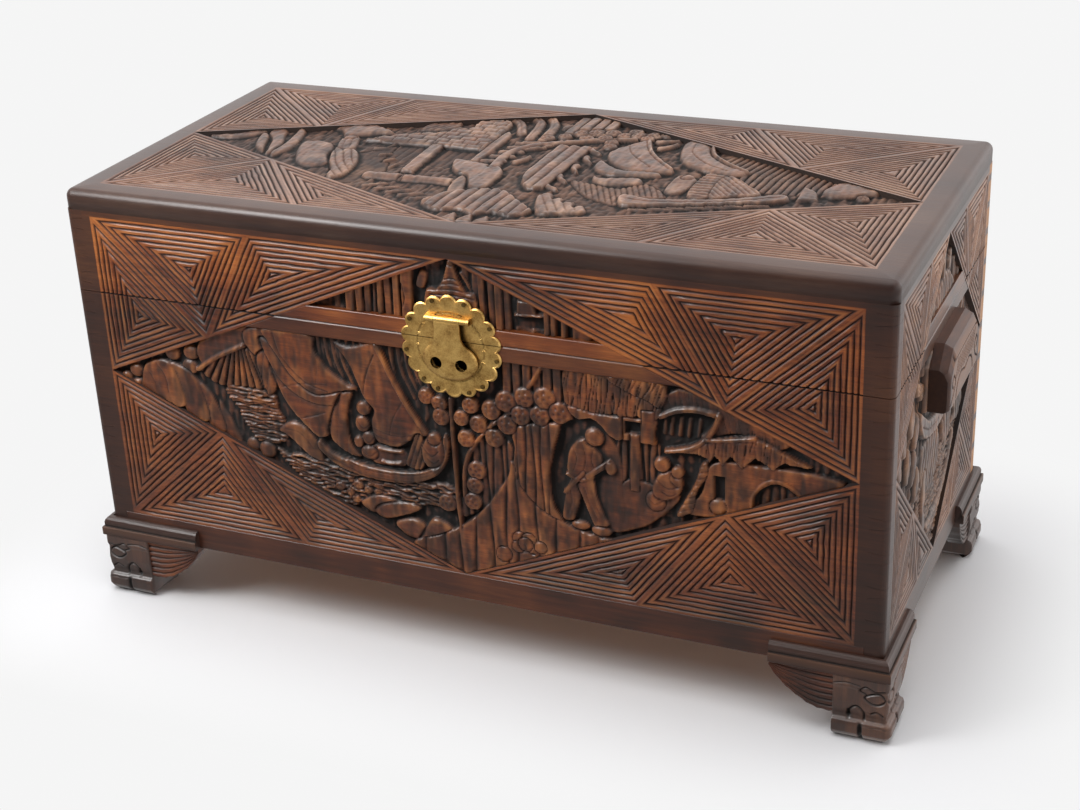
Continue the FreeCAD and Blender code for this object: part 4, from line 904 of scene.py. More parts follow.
# The junk harbour of the front
def carveFront():
    relief = Relief((-423.5, 100), (423.5, 361.8), 1.16, field["ground"], shadeAndStain=1.3)
    block, strip, groove, boss = relief.block, relief.strip, relief.groove, relief.boss
    # plain sky behind the leaf and the roof
    block((214, 330, 232, 350, 252, 352, 300, 333, 348, 313, 336, 303, 300, 314, 262, 304, 236, 316), -4.4,
          cut=scratches(100, 5, 0.9))
    # shore at the left: pebbles, a slope, a fan hung under its rim, and leaf-like rocks one over the other
    for u, v, r, tall in ((-391, 285, 9, 0.9), (-391, 268, 9, 0.8), (-405, 275, 7, 1.0),
                          (-341, 312, 9.5, 0.9), (-317, 316, 10, 0.9), (-320, 299, 10.5, 0.85)):
        boss(u, v, r, -2.0, tall=tall)
    block((-303, 302, -304, 331, -240, 358, -232, 345, -250, 332, -285, 315), -4.4)
    block((-306, 297, -285, 312, -250, 330, -232, 322, -226, 300, -230, 284, -262, 281, -290, 284), -3.4,
          cut=rays(-254, 362, 27, 4.4))
    strip((-309, 298, -283, 316, -248, 334), 5, -1.0)
    relief.water((-276, 281, -222, 282, -214, 262, -205, 245, -210, 226, -240, 222, -256, 240, -264, 258),
                 -2.4, slope=-0.03)
    for top, outline in ((-4.6, (-290, 262, -281, 252, -272, 237, -263, 211, -276, 213, -286, 222)),
                         (-3.4, (-320, 288, -303, 277, -292, 260, -283, 228, -298, 224, -306, 238,
                                 -311, 266)),
                         (-2.2, (-349, 302, -332, 299, -317, 290, -307, 268, -302, 239, -318, 234, -332, 244,
                                 -334, 264, -340, 284)),
                         (-1.0, (-385, 264, -381, 290, -370, 299, -354, 304, -344, 300, -335, 282, -329, 255,
                                 -345, 247, -367, 254))):
        block(outline, top, edge=3, crown=1.6, tilt=(0.045, 0.0), moat=3.0)
    groove((-362, 298, -352, 284, -350, 266), 3, 1.1)
    groove((-374, 288, -367, 276, -366, 264), 2.6, 0.8)
    boss(-251, 215, 9, -3.0)
    boss(-233, 213, 10.5, -1.2)
    # waves under the junk, with curled crests
    relief.water((-224, 220, -200, 208, -165, 212, -125, 204, -90, 198, -40, 206, -4, 202, -4, 178, -60, 178,
                  -110, 168, -150, 163, -190, 182), -2.4, slope=-0.1)
    for u, v, r in ((-146, 183, 6), (-134, 178, 5), (-124, 188, 6.5), (-112, 184, 5.5), (-128, 170, 5),
                    (-100, 183, 5)):
        boss(u, v, r, -1.6, flat=0.5, tall=0.8)
        groove((u - 4, v - 1, u, v + 2, u + 4, v - 1), 2.0, 1.4)
    for outline in ((-122, 168, -100, 181, -76, 176, -93, 160, -110, 157),
                    (-106, 160, -95, 171, -65, 178, -50, 172, -70, 160, -95, 152),
                    (-82, 150, -60, 159, -45, 151, -52, 134, -70, 136),
                    (-50, 143, -38, 162, -25, 162, -10, 150, -30, 138, -54, 132)):
        block(outline, -1.6, edge=3.7, crown=2.0, tilt=(0.0, 0.06), moat=2.4)
    # reeds behind the sails
    for u in np.arange(-168, -40, 8.5):
        strip((u, 360, u + 3, 330, u + 16, 300), 4.2, -6.2 + dice.uniform(-0.8, 0.8))
    # first sail: three swelling panels, each tucked under the one above, and a hanging bundle
    block((-248, 350, -235, 358, -221, 354, -219, 332, -233, 322, -247, 335), -2.4, edge=4.3, crown=2.0)
    block((-236, 322, -220, 332, -212, 305, -216, 284, -226, 280, -232, 300), -3.4, edge=3.1, crown=1.4,
          cut=flutes(78, 8, 1.2))
    block((-218, 318, -205, 300, -185, 287, -160, 281, -136, 284, -147, 265, -150, 247, -165, 239, -185, 254,
           -200, 270, -212, 292), -2.0, edge=3.7, crown=1.0, tilt=(0.0, -0.05))
    block((-228, 345, -215, 342, -205, 325, -190, 305, -165, 291, -134, 297, -136, 283, -160, 278, -185, 284,
           -205, 298, -219, 320), -1.5, edge=3.1, crown=0.8, tilt=(0.0, -0.035), moat=2.4)
    block((-222, 358, -167, 358, -163, 340, -150, 322, -130, 308, -117, 302, -135, 297, -165, 290, -190, 304,
           -205, 324, -217, 342), -1.1, edge=3.1, crown=0.8, tilt=(-0.008, -0.02), moat=2.4)
    groove((-210, 354, -203, 330, -178, 304, -150, 295), 3.0, 1.4)
    groove((-162, 352, -160, 326, -163, 302), 2.2, 0.6)
    groove((-196, 256, -175, 262, -155, 270), 2.8, 1.2)
    groove((-206, 292, -180, 300, -150, 303), 2.6, 0.9)
    # second sail with its roped edge, low at the mast and high at the rope
    block((-140, 352, -120, 350, -90, 359, -80, 340, -72, 320, -60, 297, -47, 276, -37, 262, -55, 252,
           -75, 240, -97, 244, -102, 264, -98, 280, -108, 291, -115, 308, -124, 330), -1.9, edge=4.3,
          crown=1.4, tilt=(0.03, -0.008))
    strip((-89, 359, -80, 338, -70, 316, -57, 292, -37, 262), 5, -0.4)
    groove((-92, 345, -104, 318, -108, 298), 3.0, 1.5)
    groove((-62, 296, -74, 276, -80, 256), 2.6, 1.0)
    for v in (263, 256, 249):
        groove((-99, v - 3, -75, v - 8, -48, v - 3), 2.4, 1.0)
    # small boat beside the junk
    block((-216, 240, -200, 252, -183, 249, -170, 236, -163, 218, -166, 209, -182, 214, -197, 227, -208, 235),
          -1.8, edge=4.3, crown=2.0)
    groove((-206, 243, -188, 240, -174, 224), 2.4, 0.9)
    # hull, hood and crew
    block((-131, 297, -122, 296, -128, 280, -131, 258, -127, 236, -118, 222, -136, 226, -152, 240, -150, 262,
           -140, 286), -2.4, edge=3.1, crown=1.2, cut=flutes(84, 12, 0.9))
    block((-165, 236, -150, 223, -120, 216, -90, 213, -60, 215, -36, 222, -22, 240, -17, 264, -11, 256,
           -16, 234, -30, 214, -55, 203, -90, 199, -125, 202, -150, 211, -167, 226), -0.8, edge=2.5, moat=2.4)
    for drop in (0, 7):
        groove((-158, 227 - drop, -120, 212 - drop, -88, 209 - drop, -56, 212 - drop, -30, 223 - drop,
                -18, 246 - drop), 2.4, 1.3)
    block((-100, 240, -66, 238, -62, 226, -70, 218, -100, 217, -106, 226), -4.6)
    strip((-95, 237, -82, 236, -68, 237), 4.0, -1.2)
    strip((-92, 222, -82, 221, -70, 223), 3.4, -1.4)
    for u, v, r, top, tall in ((-113, 262, 8.5, -1.8, 1.2), (-107, 246, 8, -2.0, 1.0),
                               (-119, 240, 6, -2.4, 1.2), (-107, 229, 11, -1.6, 0.8),
                               (-110, 281, 8.5, -0.9, 1.0)):
        boss(u, v, r, top, flat=0.5, tall=tall)
    for line in ((-118, 266, -111, 258, -105, 262), (-113, 250, -106, 242, -101, 247),
                 (-115, 231, -106, 226, -99, 231), (-117, 285, -110, 290, -103, 285)):
        groove(line, 2.4, 1.3)
    block((-63, 222, -58, 242, -50, 259, -42, 258, -40, 236, -46, 219), -2.4, edge=2.5,
          cut=flutes(70, 5.5, 1.8))
    block((-42, 250, -34, 262, -22, 260, -18, 244, -24, 228, -38, 224, -44, 236), -1.4, edge=3.1, crown=1.4)
    for line in ((-41, 246, -32, 238, -24, 245), (-38, 235, -30, 230, -24, 235)):
        groove(line, 2.4, 1.4)
    boss(-29, 258, 7.5, -0.6, flat=0.5)
    groove((-36, 262, -29, 265, -22, 261), 2.2, 0.9)
    # slats and slope behind the blossoms
    for u in np.arange(52, 124, 11):
        block(corners(u, 300, u + 10, 300, u + 9, 360, u, 360), -3.2 + dice.uniform(-1.6, 0.8), edge=1.9,
              moat=1.2)
    block((-2, 172, 12, 176, 26, 188, 44, 210, 54, 228, 60, 262, 40, 272, 18, 262, 4, 240, 0, 205), -4.4,
          cut=slits((4, 13, 21, 30, 37, 46, 54), 4.0, 2.6))
    # fluted mound, and the cliff behind it
    block((60, 238, 62, 262, 64, 286, 108, 298, 113, 291, 104, 262, 100, 235, 102, 205, 113, 187, 100, 186,
           80, 196, 62, 218), -1.5, edge=2.5, cut=slits((66, 74, 83, 92, 100), 4.6, 2.8))
    block((-62, 130, -25, 147, 5, 167, 25, 187, 42, 210, 54, 230, 58, 246, 62, 240, 65, 223, 82, 202,
           100, 190, 114, 186, 135, 179, 178, 172, 140, 160, 60, 122, 0, 100, -30, 114), -1.0, edge=2.5,
          cut=slits((-46, -25, -5, 13, 32, 50, 62, 84, 106, 130, 152), 6.0, 2.8), moat=2.4)
    # blossoms on two stems
    strip((-7, 308, -7, 250, -6, 205, -4, 160), 4.2, -1.4)
    strip((3, 196, 4, 228, 14, 254, 36, 282, 60, 302, 82, 334, 97, 360), 4.2, -1.2)
    for u, v, r in ((-35, 306, 9), (-20, 300, 9), (15, 303, 9.5), (-19, 285, 10), (4, 287, 9), (8, 264, 10),
                    (23, 283, 10), (38, 301, 11), (40, 270, 10.5), (55, 287, 11), (55, 313, 12),
                    (71, 300, 11), (76, 321, 11), (92, 303, 11), (98, 323, 12), (114, 309, 12),
                    (18, 229, 10.5), (15, 211, 9.5), (12, 192, 10), (-18, 185, 10.5)):
        boss(u, v, r, -0.6, flat=0.3, blossom=True)
    for u, v, r in ((64, 158, 8), (74, 158, 8), (62, 148, 7), (78, 149, 7), (70, 152, 8), (87, 151, 7),
                    (45, 136, 9)):
        boss(u, v, r, -0.5, flat=0.3)
    groove((70, 152, 71, 147), 4, 1.6)
    # huts over the niche
    block((176, 240, 176, 292, 216, 292, 216, 240, 200, 232), -5.6,
          cut=slits((178, 184, 201, 208, 214), 4.0, 3.0))
    block((165, 186, 180, 242, 212, 244, 240, 236, 216, 206, 192, 190), -5.2)
    block((121, 358, 165, 358, 186, 346, 210, 338, 221, 330, 217, 318, 206, 311, 196, 318, 186, 312, 172, 317,
           158, 311, 140, 315, 122, 318), -2.4, cut=scratches(84, 5.0, 2.8))
    block((163, 359, 222, 359, 222, 332, 205, 338, 186, 344), -1.4, cut=scratches(68, 5.0, 2.6))
    block((123, 319, 150, 315, 181, 314, 179, 290, 166, 293, 150, 308, 132, 306), -1.4, edge=2.5)
    block(corners(181, 315, 219, 316, 214, 289, 181, 290), -3.0, edge=1.2)
    block(corners(183, 311, 199, 311, 199, 298, 183, 298), -9.4, edge=1, moat=0)
    block(corners(188, 298, 198, 298, 197, 234, 187, 234), -3.4, edge=2.5, crown=1.0)
    block(corners(201, 326, 214, 326, 213, 290, 200, 290), -1.8, edge=2.5, crown=0.8)
    # open shed: a dark inside between two bright rims
    block((218, 318, 234, 326, 262, 331, 277, 329, 264, 309, 240, 298, 216, 291), -9.6, edge=1, moat=0)
    for u in (223, 230, 239, 248, 258):
        strip((u + 2, 322, u, 303), 4.0, -6.6)
    strip((221, 322, 238, 331, 258, 334, 279, 331), 6, -0.9)
    # house at the right: jagged thatch, wall, arched door and slit window
    block((246, 220, 262, 245, 275, 280, 330, 284, 372, 284, 405, 278, 386, 264, 360, 252, 310, 234,
           285, 221), -2.6, edge=1.9)
    block((226, 286, 255, 294, 276, 305, 312, 313, 345, 302, 372, 290, 345, 291, 345, 291, 335, 282, 335, 282,
           317, 292, 317, 292, 304, 279, 304, 279, 292, 290, 292, 290, 284, 279, 284, 279, 276, 288, 276, 288,
           270, 279, 270, 279, 262, 286), -0.8, edge=1.6, cut=scratches(86, 4.6, 2.4), moat=2.4)
    strip((226, 285, 252, 293, 270, 308, 280, 331), 5, -0.5)
    strip((268, 304, 292, 308, 316, 313), 4.4, -0.4)
    block((315, 234, 316, 250, 328, 263, 340, 267, 353, 262, 362, 252, 362, 240), -6.4, edge=1.2, moat=0,
          cut=slits((323, 331, 340, 349, 357), 4.2, 2.0))
    strip((313, 238, 315, 252, 327, 267, 341, 271, 356, 265, 364, 256), 3.6, -1.4)
    block(corners(275, 240, 286, 240, 286, 266, 275, 266), -7.6, edge=1, moat=0)
    boss(279, 232, 9, -1.2)
    block((236, 214, 246, 236, 256, 256, 262, 276, 269, 279, 267, 262, 258, 246, 252, 222), -1.2, edge=2.5,
          cut=flutes(20, 6, 1.6))
    # small seated figures by the house
    boss(214, 227, 11, -2.2, tall=1.1)
    groove((206, 230, 214, 224, 222, 229), 2.4, 1.2)
    block((211, 242, 218, 258, 232, 264, 242, 256, 240, 240, 226, 230, 214, 232), -1.8, edge=3.1, crown=1.6)
    for line in ((216, 252, 227, 244, 240, 248), (220, 240, 229, 236, 236, 240),
                 (229, 262, 231, 252, 238, 246)):
        groove(line, 2.6, 1.4)
    boss(221, 269, 8.5, -1.0, flat=0.5)
    boss(237, 263, 6.5, -1.4, flat=0.5)
    groove((213, 272, 221, 277, 229, 272), 2.2, 0.9)
    # walking figure in the niche, whose ground falls away to the left
    block((114, 290, 122, 301, 140, 306, 156, 304, 166, 292, 177, 268, 178, 215, 170, 186, 158, 180, 120, 184,
           105, 206, 102, 236, 106, 264), -7.2, edge=1, tilt=(0.06, 0.0), moat=0)
    block((126, 242, 134, 234, 133, 216, 128, 198, 124, 189, 113, 190, 114, 206, 118, 224), -2.4, edge=3,
          crown=1.4)
    block((131, 234, 147, 242, 151, 222, 158, 202, 163, 190, 149, 186, 142, 200, 135, 218), -1.8, edge=3,
          crown=1.4)
    for line in ((122, 228, 124, 212, 120, 198), (138, 230, 144, 212, 152, 196),
                 (146, 228, 150, 212, 156, 200)):
        groove(line, 2.2, 1.1)
    boss(132, 185, 10.5, -1.6, tall=0.5)
    boss(155, 182, 11.5, -1.2, tall=0.55)
    block((121, 244, 120, 258, 124, 272, 133, 283, 142, 285, 150, 277, 157, 268, 158, 260, 150, 251, 147, 243,
           134, 238), -1.2, edge=3.5, crown=1.4)
    for line in ((127, 274, 131, 262, 127, 248), (137, 280, 141, 266, 138, 250),
                 (149, 274, 147, 263, 150, 254)):
        groove(line, 2.2, 1.2)
    strip((120, 243, 133, 238, 147, 243), 4, -0.7)
    strip((117, 222, 127, 234, 138, 247), 4.5, -0.7)
    strip((143, 244, 154, 253, 166, 262), 6.5, -0.4)
    boss(167, 256, 5.5, -0.5, tall=1.3)
    boss(150, 288, 10.5, -0.6, flat=0.5)
    for line in ((141, 291, 150, 297, 159, 290), (144, 284, 150, 281), (153, 284, 158, 283)):
        groove(line, 2.0, 1.0)
    plateSeat(relief)
    return relief


# Spire and reeds of the lid's front
def carveLidFront():
    relief = Relief((-172, 388), (172, 464), 1.1, field["ground"], shadeAndStain=1.3)
    block, strip, groove, boss = relief.block, relief.strip, relief.groove, relief.boss
    for left, right, top in ((-134, -128, -6.5), (-119, -109, -1.6), (-107, -99, -2.0), (-98, -91, -4.5),
                             (-89, -85, -6.0), (-83, -77, -3.0), (-75, -67, -5.2), (-65, -57, -3.0),
                             (-55, -42, -2.0), (14, 21, -6.2), (23, 30, -5.0), (32, 39, -3.2), (41, 48, -4.0),
                             (49, 57, -1.6), (58, 65, -4.2), (100, 106, -2.2), (107, 113, -3.2),
                             (118, 124, -3.2), (130, 150, -4.5)):
        lean = dice.uniform(-2.0, 2.0)
        block(corners(left, 390, right, 390, right + lean, 464, left + lean, 464), top, edge=1.6, moat=1.0)
    groove((-53, 428, -51, 414, -53, 404), 3, 2.6)
    block((-38, 428, -32, 444, -25, 441, -29, 426), -5.0, edge=1.2)
    strip((12, 446, 20, 434, 26, 420), 3.5, -5.0)
    block(corners(70, 396, 100, 396, 98, 410, 70, 410), -9.4, edge=1, moat=0)
    block(corners(72, 410, 94, 411, 90, 425, 73, 426), -2.2, edge=1.2)
    strip((71, 410, 99, 412), 3.4, -1.2)
    block((-26, 424, -14, 428, -6, 440, -1, 456, 3, 461, 6, 456, 11, 440, 18, 428, 28, 424, 26, 400,
           -24, 400), -1.2, edge=1.9, moat=1.8)
    for level in (440, 434, 428, 422):
        reach = 8 + (440 - level) * 0.9
        groove((3 - reach, level - 1, 3, level + 1, 3 + reach, level - 1), 2.6, 1.6)
    boss(3, 458, 3.4, -0.5)
    plateSeat(relief)
    return relief


sideBoard("carved_front", "body_front_board", "chest", "front", "body", case["halfLength"] - case["thick"],
          field["frontRun"], frontShares, carveFront(), tails, ("longWood", "bareLong"))
sideBoard("carved_lid_front", "lid_front_board", "lid", "front", "lid", case["halfLength"] - case["thick"],
          field["frontRun"], frontShares, carveLidFront(), tails, ("longWood", "bareLong"))

# Handles: a block with bevelled top, scooped underneath for the fingers
handle = {"half": 70.0, "low": 297.0, "high": 363.0, "proud": 22.0, "cornerRun": 22.0, "cornerFall": 20.0,
          "bevel": 12.0, "round": 4.0, "gripHalf": 52.0, "gripDeep": 15.0, "gripRoof": 313.0, "columns": 113,
          "rows": 40, "endRun": 5.0, "endFall": 3.0, "rubbedAndHighlitHalf": 58.0, "rubbedAndHighlit": 0.5}


def handleOutline(grow=0.0):
    half, low, high = handle["half"] + grow, handle["low"] - grow, handle["high"] + grow
    run, fall = handle["cornerRun"], handle["cornerFall"]
    return [(-half, low), (half, low), (half, high - fall), (half - run, high), (run - half, high),
            (-half, high - fall)]


# Carving of an end: boats on the water, a bank with leaves, and the raised seat of the handle
def carveEnd():
    relief = Relief((-198, 100), (198, 361.8), 1.1, field["endGround"])
    block, strip, groove, boss = relief.block, relief.strip, relief.groove, relief.boss
    relief.water((-120, 200, -60, 214, 0, 206, 60, 212, 120, 200, 90, 170, 40, 130, 0, 104, -40, 128,
                  -90, 168), -3.2, slope=0.02)
    block((-72, 246, -40, 254, 2, 248, 16, 222, 8, 196, -30, 186, -64, 204), -2.0, edge=3.7, crown=1.4,
          cut=flutes(75, 11, 1.6))
    block((30, 236, 66, 252, 104, 246, 130, 232, 112, 208, 76, 214, 44, 204), -2.2, edge=3.7, crown=1.4,
          cut=flutes(100, 11, 1.6))
    block((-62, 214, -50, 218, -45, 152, -57, 148), -1.6, edge=1.9)
    strip((-34, 146, 10, 150, 50, 170, 80, 206), 7, -1.4)
    strip((-20, 134, 16, 138, 52, 158, 88, 196), 5, -2.6)
    block((-92, 304, -78, 272, -44, 256, 0, 250, 42, 258, 70, 282, 78, 302, 60, 284, 30, 272, 0, 268,
           -40, 274, -68, 290), -0.9, edge=2.5)
    groove((-80, 284, -44, 266, 0, 260, 42, 266, 66, 286), 2.4, 1.1)
    for u, v, lean in ((-166, 284, -6), (-150, 302, -4), (-136, 266, 4), (-122, 310, 0), (-112, 252, 8),
                       (-104, 290, 4), (-96, 226, 8)):
        block((u - 5, v - 18, u - 9 + lean, v, u + lean, v + 19, u + 9 + lean, v + 2, u + 5, v - 18), -1.6,
              edge=3.7, crown=1.8)
        groove((u, v - 15, u + lean, v + 15), 2.2, 0.9)
    for u, v, r in ((100, 300, 11), (118, 286, 11), (96, 278, 9), (134, 300, 10), (150, 288, 11),
                    (116, 262, 10), (138, 270, 10), (160, 272, 8), (92, 322, 9), (110, 324, 8), (-84, 324, 9),
                    (-100, 334, 8)):
        boss(u, v, r, -0.9, flat=0.3, blossom=True)
    strip((128, 240, 126, 266, 132, 300), 4.2, -1.6)
    for u, v in ((-44, 178), (10, 188), (74, 226), (104, 190), (-84, 190)):
        block((u - 9, v - 4, u, v - 8, u + 10, v - 2, u + 6, v + 8, u - 6, v + 7), -9.0, edge=1, moat=0)
    for u in np.arange(-100, 100, 8.0):
        block(corners(u, 340, u + 7, 340, u + 6, 361, u, 361), dice.choice([-2.4, -3.6, -5.0]), edge=1.6,
              moat=0.7)
    block(np.ravel(handleOutline(1.5)), -0.05, edge=0.5, moat=1.2, sharp=True)
    return relief


def carveLidEnd():
    relief = Relief((-82.5, 387.5), (82.5, 463.75), 1.25, field["endGround"])
    for u in np.arange(-72, 70, 8.5):
        height = 394 + 62 * (1 - abs(u) / 84) * dice.uniform(0.6, 0.95)
        relief.block(corners(u, 390, u + 7.6, 390, u + 7, height, u, height - 3),
                     dice.choice([-2.0, -3.4, -5.2]), edge=1.6, moat=0.7)
    relief.block((-38, 390, -30, 406, -10, 416, 12, 418, 30, 408, 40, 390), -1.6, edge=3.7, crown=1.4,
                 cut=flutes(90, 9, 1.6))
    return relief


for side, flipped in (("right", False), ("left", True)):
    for part, carve, body in (("body", carveEnd, "chest"), ("lid", carveLidEnd, "lid")):
        endRelief = carve()
        if flipped:
            endRelief.h = endRelief.h[:, ::-1].copy()
        sideBoard(f"carved_{part}_{side}_end", f"{part}_{side}_end", body, side, part,
                  case["halfDepth"] - case["thick"], field["endRun"], endShares, endRelief, pins,
                  ("endWood", "bareEnd", "longWood"))


# The top: a harbour between trees, on two planks with a softened outer edge
topField = {"margin": 28.0, "edge": 9.0, "under": 12.0, "thick": case["top"] - case["lidTop"], "line": 0.1}
topField["run"] = case["halfLength"] - topField["margin"]
topField["rise"] = case["halfDepth"] - topField["margin"]
topShares = {"topLeft": (0.315, 0.454), "bottomLeft": (0.328, 0.565), "topRight": (0.348, 0.543),
             "bottomRight": (0.327, 0.55)}


def carveTop():
    relief = Relief((-423.5, -189.2), (423.5, 189.2), 1.1, field["topGround"], shadeAndStain=1.12)
    block, strip, groove, boss = relief.block, relief.strip, relief.groove, relief.boss
    # sky at the right and ground at the left
    block((200, 98, 260, 74, 330, 38, 345, 12, 300, -4, 215, 0, 190, 40), -4.2,
          cut=flutes(82, 8, 3.2, sway=2))
    block((-236, -8, -205, 2, -176, 34, -165, -8, -150, -55, -158, -84, -190, -94, -206, -70), -6.4)
    # left shore: rock, leaves, jar
    block((-402, 4, -374, 18, -354, 40, -343, 40, -350, 22, -366, 6, -386, 0), -2.0, edge=3.1, crown=1.5)
    for blade in ((-346, 25, -335, 22, -322, -10, -314, -30, -330, -18, -341, 5),
                  (-338, 50, -325, 52, -318, 30, -305, 0, -300, -30, -306, -38, -313, -20, -325, 10,
                   -340, 30),
                  (-312, 52, -302, 48, -290, 10, -287, -20, -295, -42, -302, -30, -303, 0, -308, 30)):
        block(blade, -1.6, edge=3.7, crown=1.8)
    block((-287, 10, -270, 22, -250, 17, -240, 0, -236, -20, -222, -46, -236, -62, -256, -55, -272, -30),
          -1.8, edge=5.6, crown=2.4)
    # figure with a wide hat and a robe in folds
    block((-238, 2, -214, 2, -198, -20, -188, -50, -186, -80, -200, -90, -210, -62, -226, -36), -2.0,
          edge=3.1, cut=flutes(125, 9, 1.4, sway=2))
    block((-248, 42, -232, 47, -217, 8, -226, 0, -240, 8), -2.0, edge=3.1, crown=1.2, cut=flutes(110, 8, 0.9))
    boss(-240, 40, 8, -1.6)
    block((-279, 70, -262, 88, -245, 91, -225, 86, -199, 70, -215, 61, -230, 52, -248, 42, -256, 54,
           -266, 64), -0.8, edge=4.3, crown=2.0)
    # hut on posts, its roofs in boards
    block(corners(-176, 38, -76, 38, -76, -20, -170, -20), -6.6, cut=flutes(90, 9, 1.0))
    block((-176, 90, -165, 130, -148, 144, -138, 104), -2.6, cut=flutes(60, 6, 1.2))
    block((-222, 36, -222, 36, -205, 50, -182, 68, -138, 88, -138, 88, -138, 40, -138, 40), -1.4, edge=1.9,
          cut=shingles(20, 13, 2.4))
    block((-138, 42, -138, 98, -120, 106, -118, 134, -84, 140, -78, 100, -74, 40, -74, 40, -138, 40,
           -138, 40), -1.0, edge=1.9, cut=shingles(18, 12, 2.4))
    block(corners(-137, 40, -123, 40, -117, -48, -131, -50), -1.4, edge=1.9)
    block((-75, 96, -65, 90, -64, 0, -64, 0, -73, 0, -73, 0), -2.0, edge=1.6)
    strip((-158, -68, -110, -66, -60, -65), 20, -1.6)
    for place in range(6):
        strip((-150 + 17 * place, -100 - 6 * place, -128 + 17 * place, -88 - 6 * place), 5, -3.4, taper=0.5)
        strip((-196 + 15 * place, 16 - 18 * place, -182 + 12 * place, 22 - 16 * place), 4, -3.8, taper=0.5)
    # steps beside the hut and small leaves under the branches
    for place in range(5):
        strip((-60 + 3 * place, 8 + 17 * place, -38 + 3 * place, 13 + 17 * place), 8, -2.6)
    for u, v, turn in ((-22, 62, 0.5), (-8, 84, 1.1), (-30, 122, 2.0), (-14, 150, 1.3), (46, 70, -0.7),
                       (50, 40, -1.0), (48, 10, -1.2), (46, -24, -0.9), (44, -52, -0.6), (112, 124, 0.4),
                       (118, 108, 0.9), (-104, 150, 0.7), (-20, 24, 1.2)):
        strip((u - 11 * math.cos(turn), v - 11 * math.sin(turn), u + 3 * math.sin(turn), v,
               u + 11 * math.cos(turn), v + 11 * math.sin(turn)), 9, -2.0, taper=0.4)
    # plate rocks, the leaning tree and hanging leaves
    block((-62, -45, -50, -56, -38, -98, -50, -102, -60, -78), -3.0, edge=2.5)
    block((-88, 0, -60, -5, -35, -9, -24, -22, -20, -46, -22, -78, -38, -76, -54, -46, -70, -38, -82, -24),
          -0.8, edge=2.5, crown=0.8)
    for line in ((-96, 160, -74, 142, -58, 108), (-76, 170, -52, 150, -42, 92),
                 (-48, 172, -32, 142, -26, 92)):
        strip(line, 12, -1.8)
        groove(line, 2.4, 1.0)
    for u in (-12, 1, 14, 27):
        block(corners(u, 120, u + 12, 120, u + 11, 180, u, 180), -1.8 + dice.uniform(-1, 0.5), edge=1.9,
              moat=0.9)
    block((0, 76, 0, 76, 39, 80, 39, 80, 38, -60, 38, -60, 20, -62, 2, -22), -1.0, edge=1.9,
          cut=flutes(90, 13, 2.0))
    strip((-40, -10, -43, 30, -36, 56, -18, 76, 10, 92, 36, 106, 74, 119), 12, -1.0, taper=0.6)
    for u, v, r in ((8, 126, 9), (24, 132, 10), (42, 136, 10), (58, 130, 9), (74, 134, 10), (90, 140, 10),
                    (104, 146, 9), (66, 146, 9), (20, 110, 9), (40, 116, 9), (52, 104, 8), (-6, 110, 8),
                    (86, 126, 8), (-22, 100, 8), (56, 90, 8)):
        boss(u, v, r, -1.0, flat=0.35, blossom=True)
    # fluted mound with small peaks and a toothed leaf
    block((-66, -132, -54, -102, -34, -86, -8, -76, 6, -80, 20, -92, 36, -108, 54, -126, 40, -146, 18, -140,
           0, -150, -20, -142, -42, -150), -1.2, edge=2.5, cut=flutes(90, 12, 2.2, sway=1.0))
    for u in (-18, 0, 18):
        block(corners(u - 9, -172, u, -150, u + 9, -172), -2.4, edge=2.5)
    block((44, -82, 55, -72, 55, -72, 62, -88, 70, -80, 70, -80, 76, -97, 86, -89, 86, -89, 91, -106, 99, -97,
           99, -97, 107, -116, 86, -126, 64, -132, 50, -106), -1.4, edge=2.5, cut=flutes(120, 9, 1.2))
    # junk: hatched stern, sails in panels, rope, hood and hull
    block((56, -26, 76, -26, 112, -34, 132, -14, 152, -24, 168, -48, 130, -58, 128, -82, 108, -76, 84, -62),
          -4.4, cut=flutes(115, 6, 1.4))
    block((64, 42, 66, 16, 86, 0, 112, 2, 142, 10, 132, 20, 100, 16, 80, 28), -1.6, edge=3.1, crown=1.0)
    block((74, -4, 86, -12, 122, -2, 130, -18, 98, -30, 80, -22), -2.0, edge=3.1, crown=1.0)
    block((86, 118, 73, 96, 63, 74, 67, 54, 80, 34, 100, 20, 124, 17, 149, 23, 145, 40, 122, 62, 106, 86,
           94, 116), -0.8, edge=4.3, crown=1.6)
    strip((92, 117, 104, 88, 120, 63, 147, 32), 5, -0.4)
    groove((78, 92, 92, 64, 124, 30), 2.4, 0.9)
    block((160, 14, 174, 20, 184, 6, 180, -30, 162, -32), -2.6, edge=2.5)
    boss(172, 14, 7.5, -1.2, flat=0.5)
    block((190, 36, 210, 26, 212, -34, 190, -40, 184, 0), -2.2, edge=1.9, cut=flutes(0, 8, 1.6))
    block((132, 120, 140, 132, 161, 130, 166, 108, 177, 84, 200, 61, 226, 45, 216, 30, 190, 36, 166, 46,
           148, 63, 138, 88), -0.8, edge=4.3, crown=1.6)
    strip((164, 128, 170, 104, 182, 82, 206, 60, 226, 46), 5, -0.4)
    groove((146, 116, 152, 88, 176, 58, 206, 40), 2.4, 0.9)
    block((207, 22, 222, 26, 241, 6, 260, -16, 236, -28, 212, -38), -1.8, edge=1.9, cut=flutes(130, 6, 1.3))
    block((126, -58, 160, -63, 200, -53, 240, -38, 282, -14, 288, -28, 252, -50, 204, -68, 166, -79,
           134, -84), -0.8, edge=2.5)
    groove((134, -70, 166, -71, 202, -61, 244, -45, 282, -23), 2.4, 1.1)
    for place in range(7):
        strip((146 + 18 * place, -92 + 7 * place, 168 + 18 * place, -88 + 7.5 * place), 4.5, -3.2, taper=0.5)
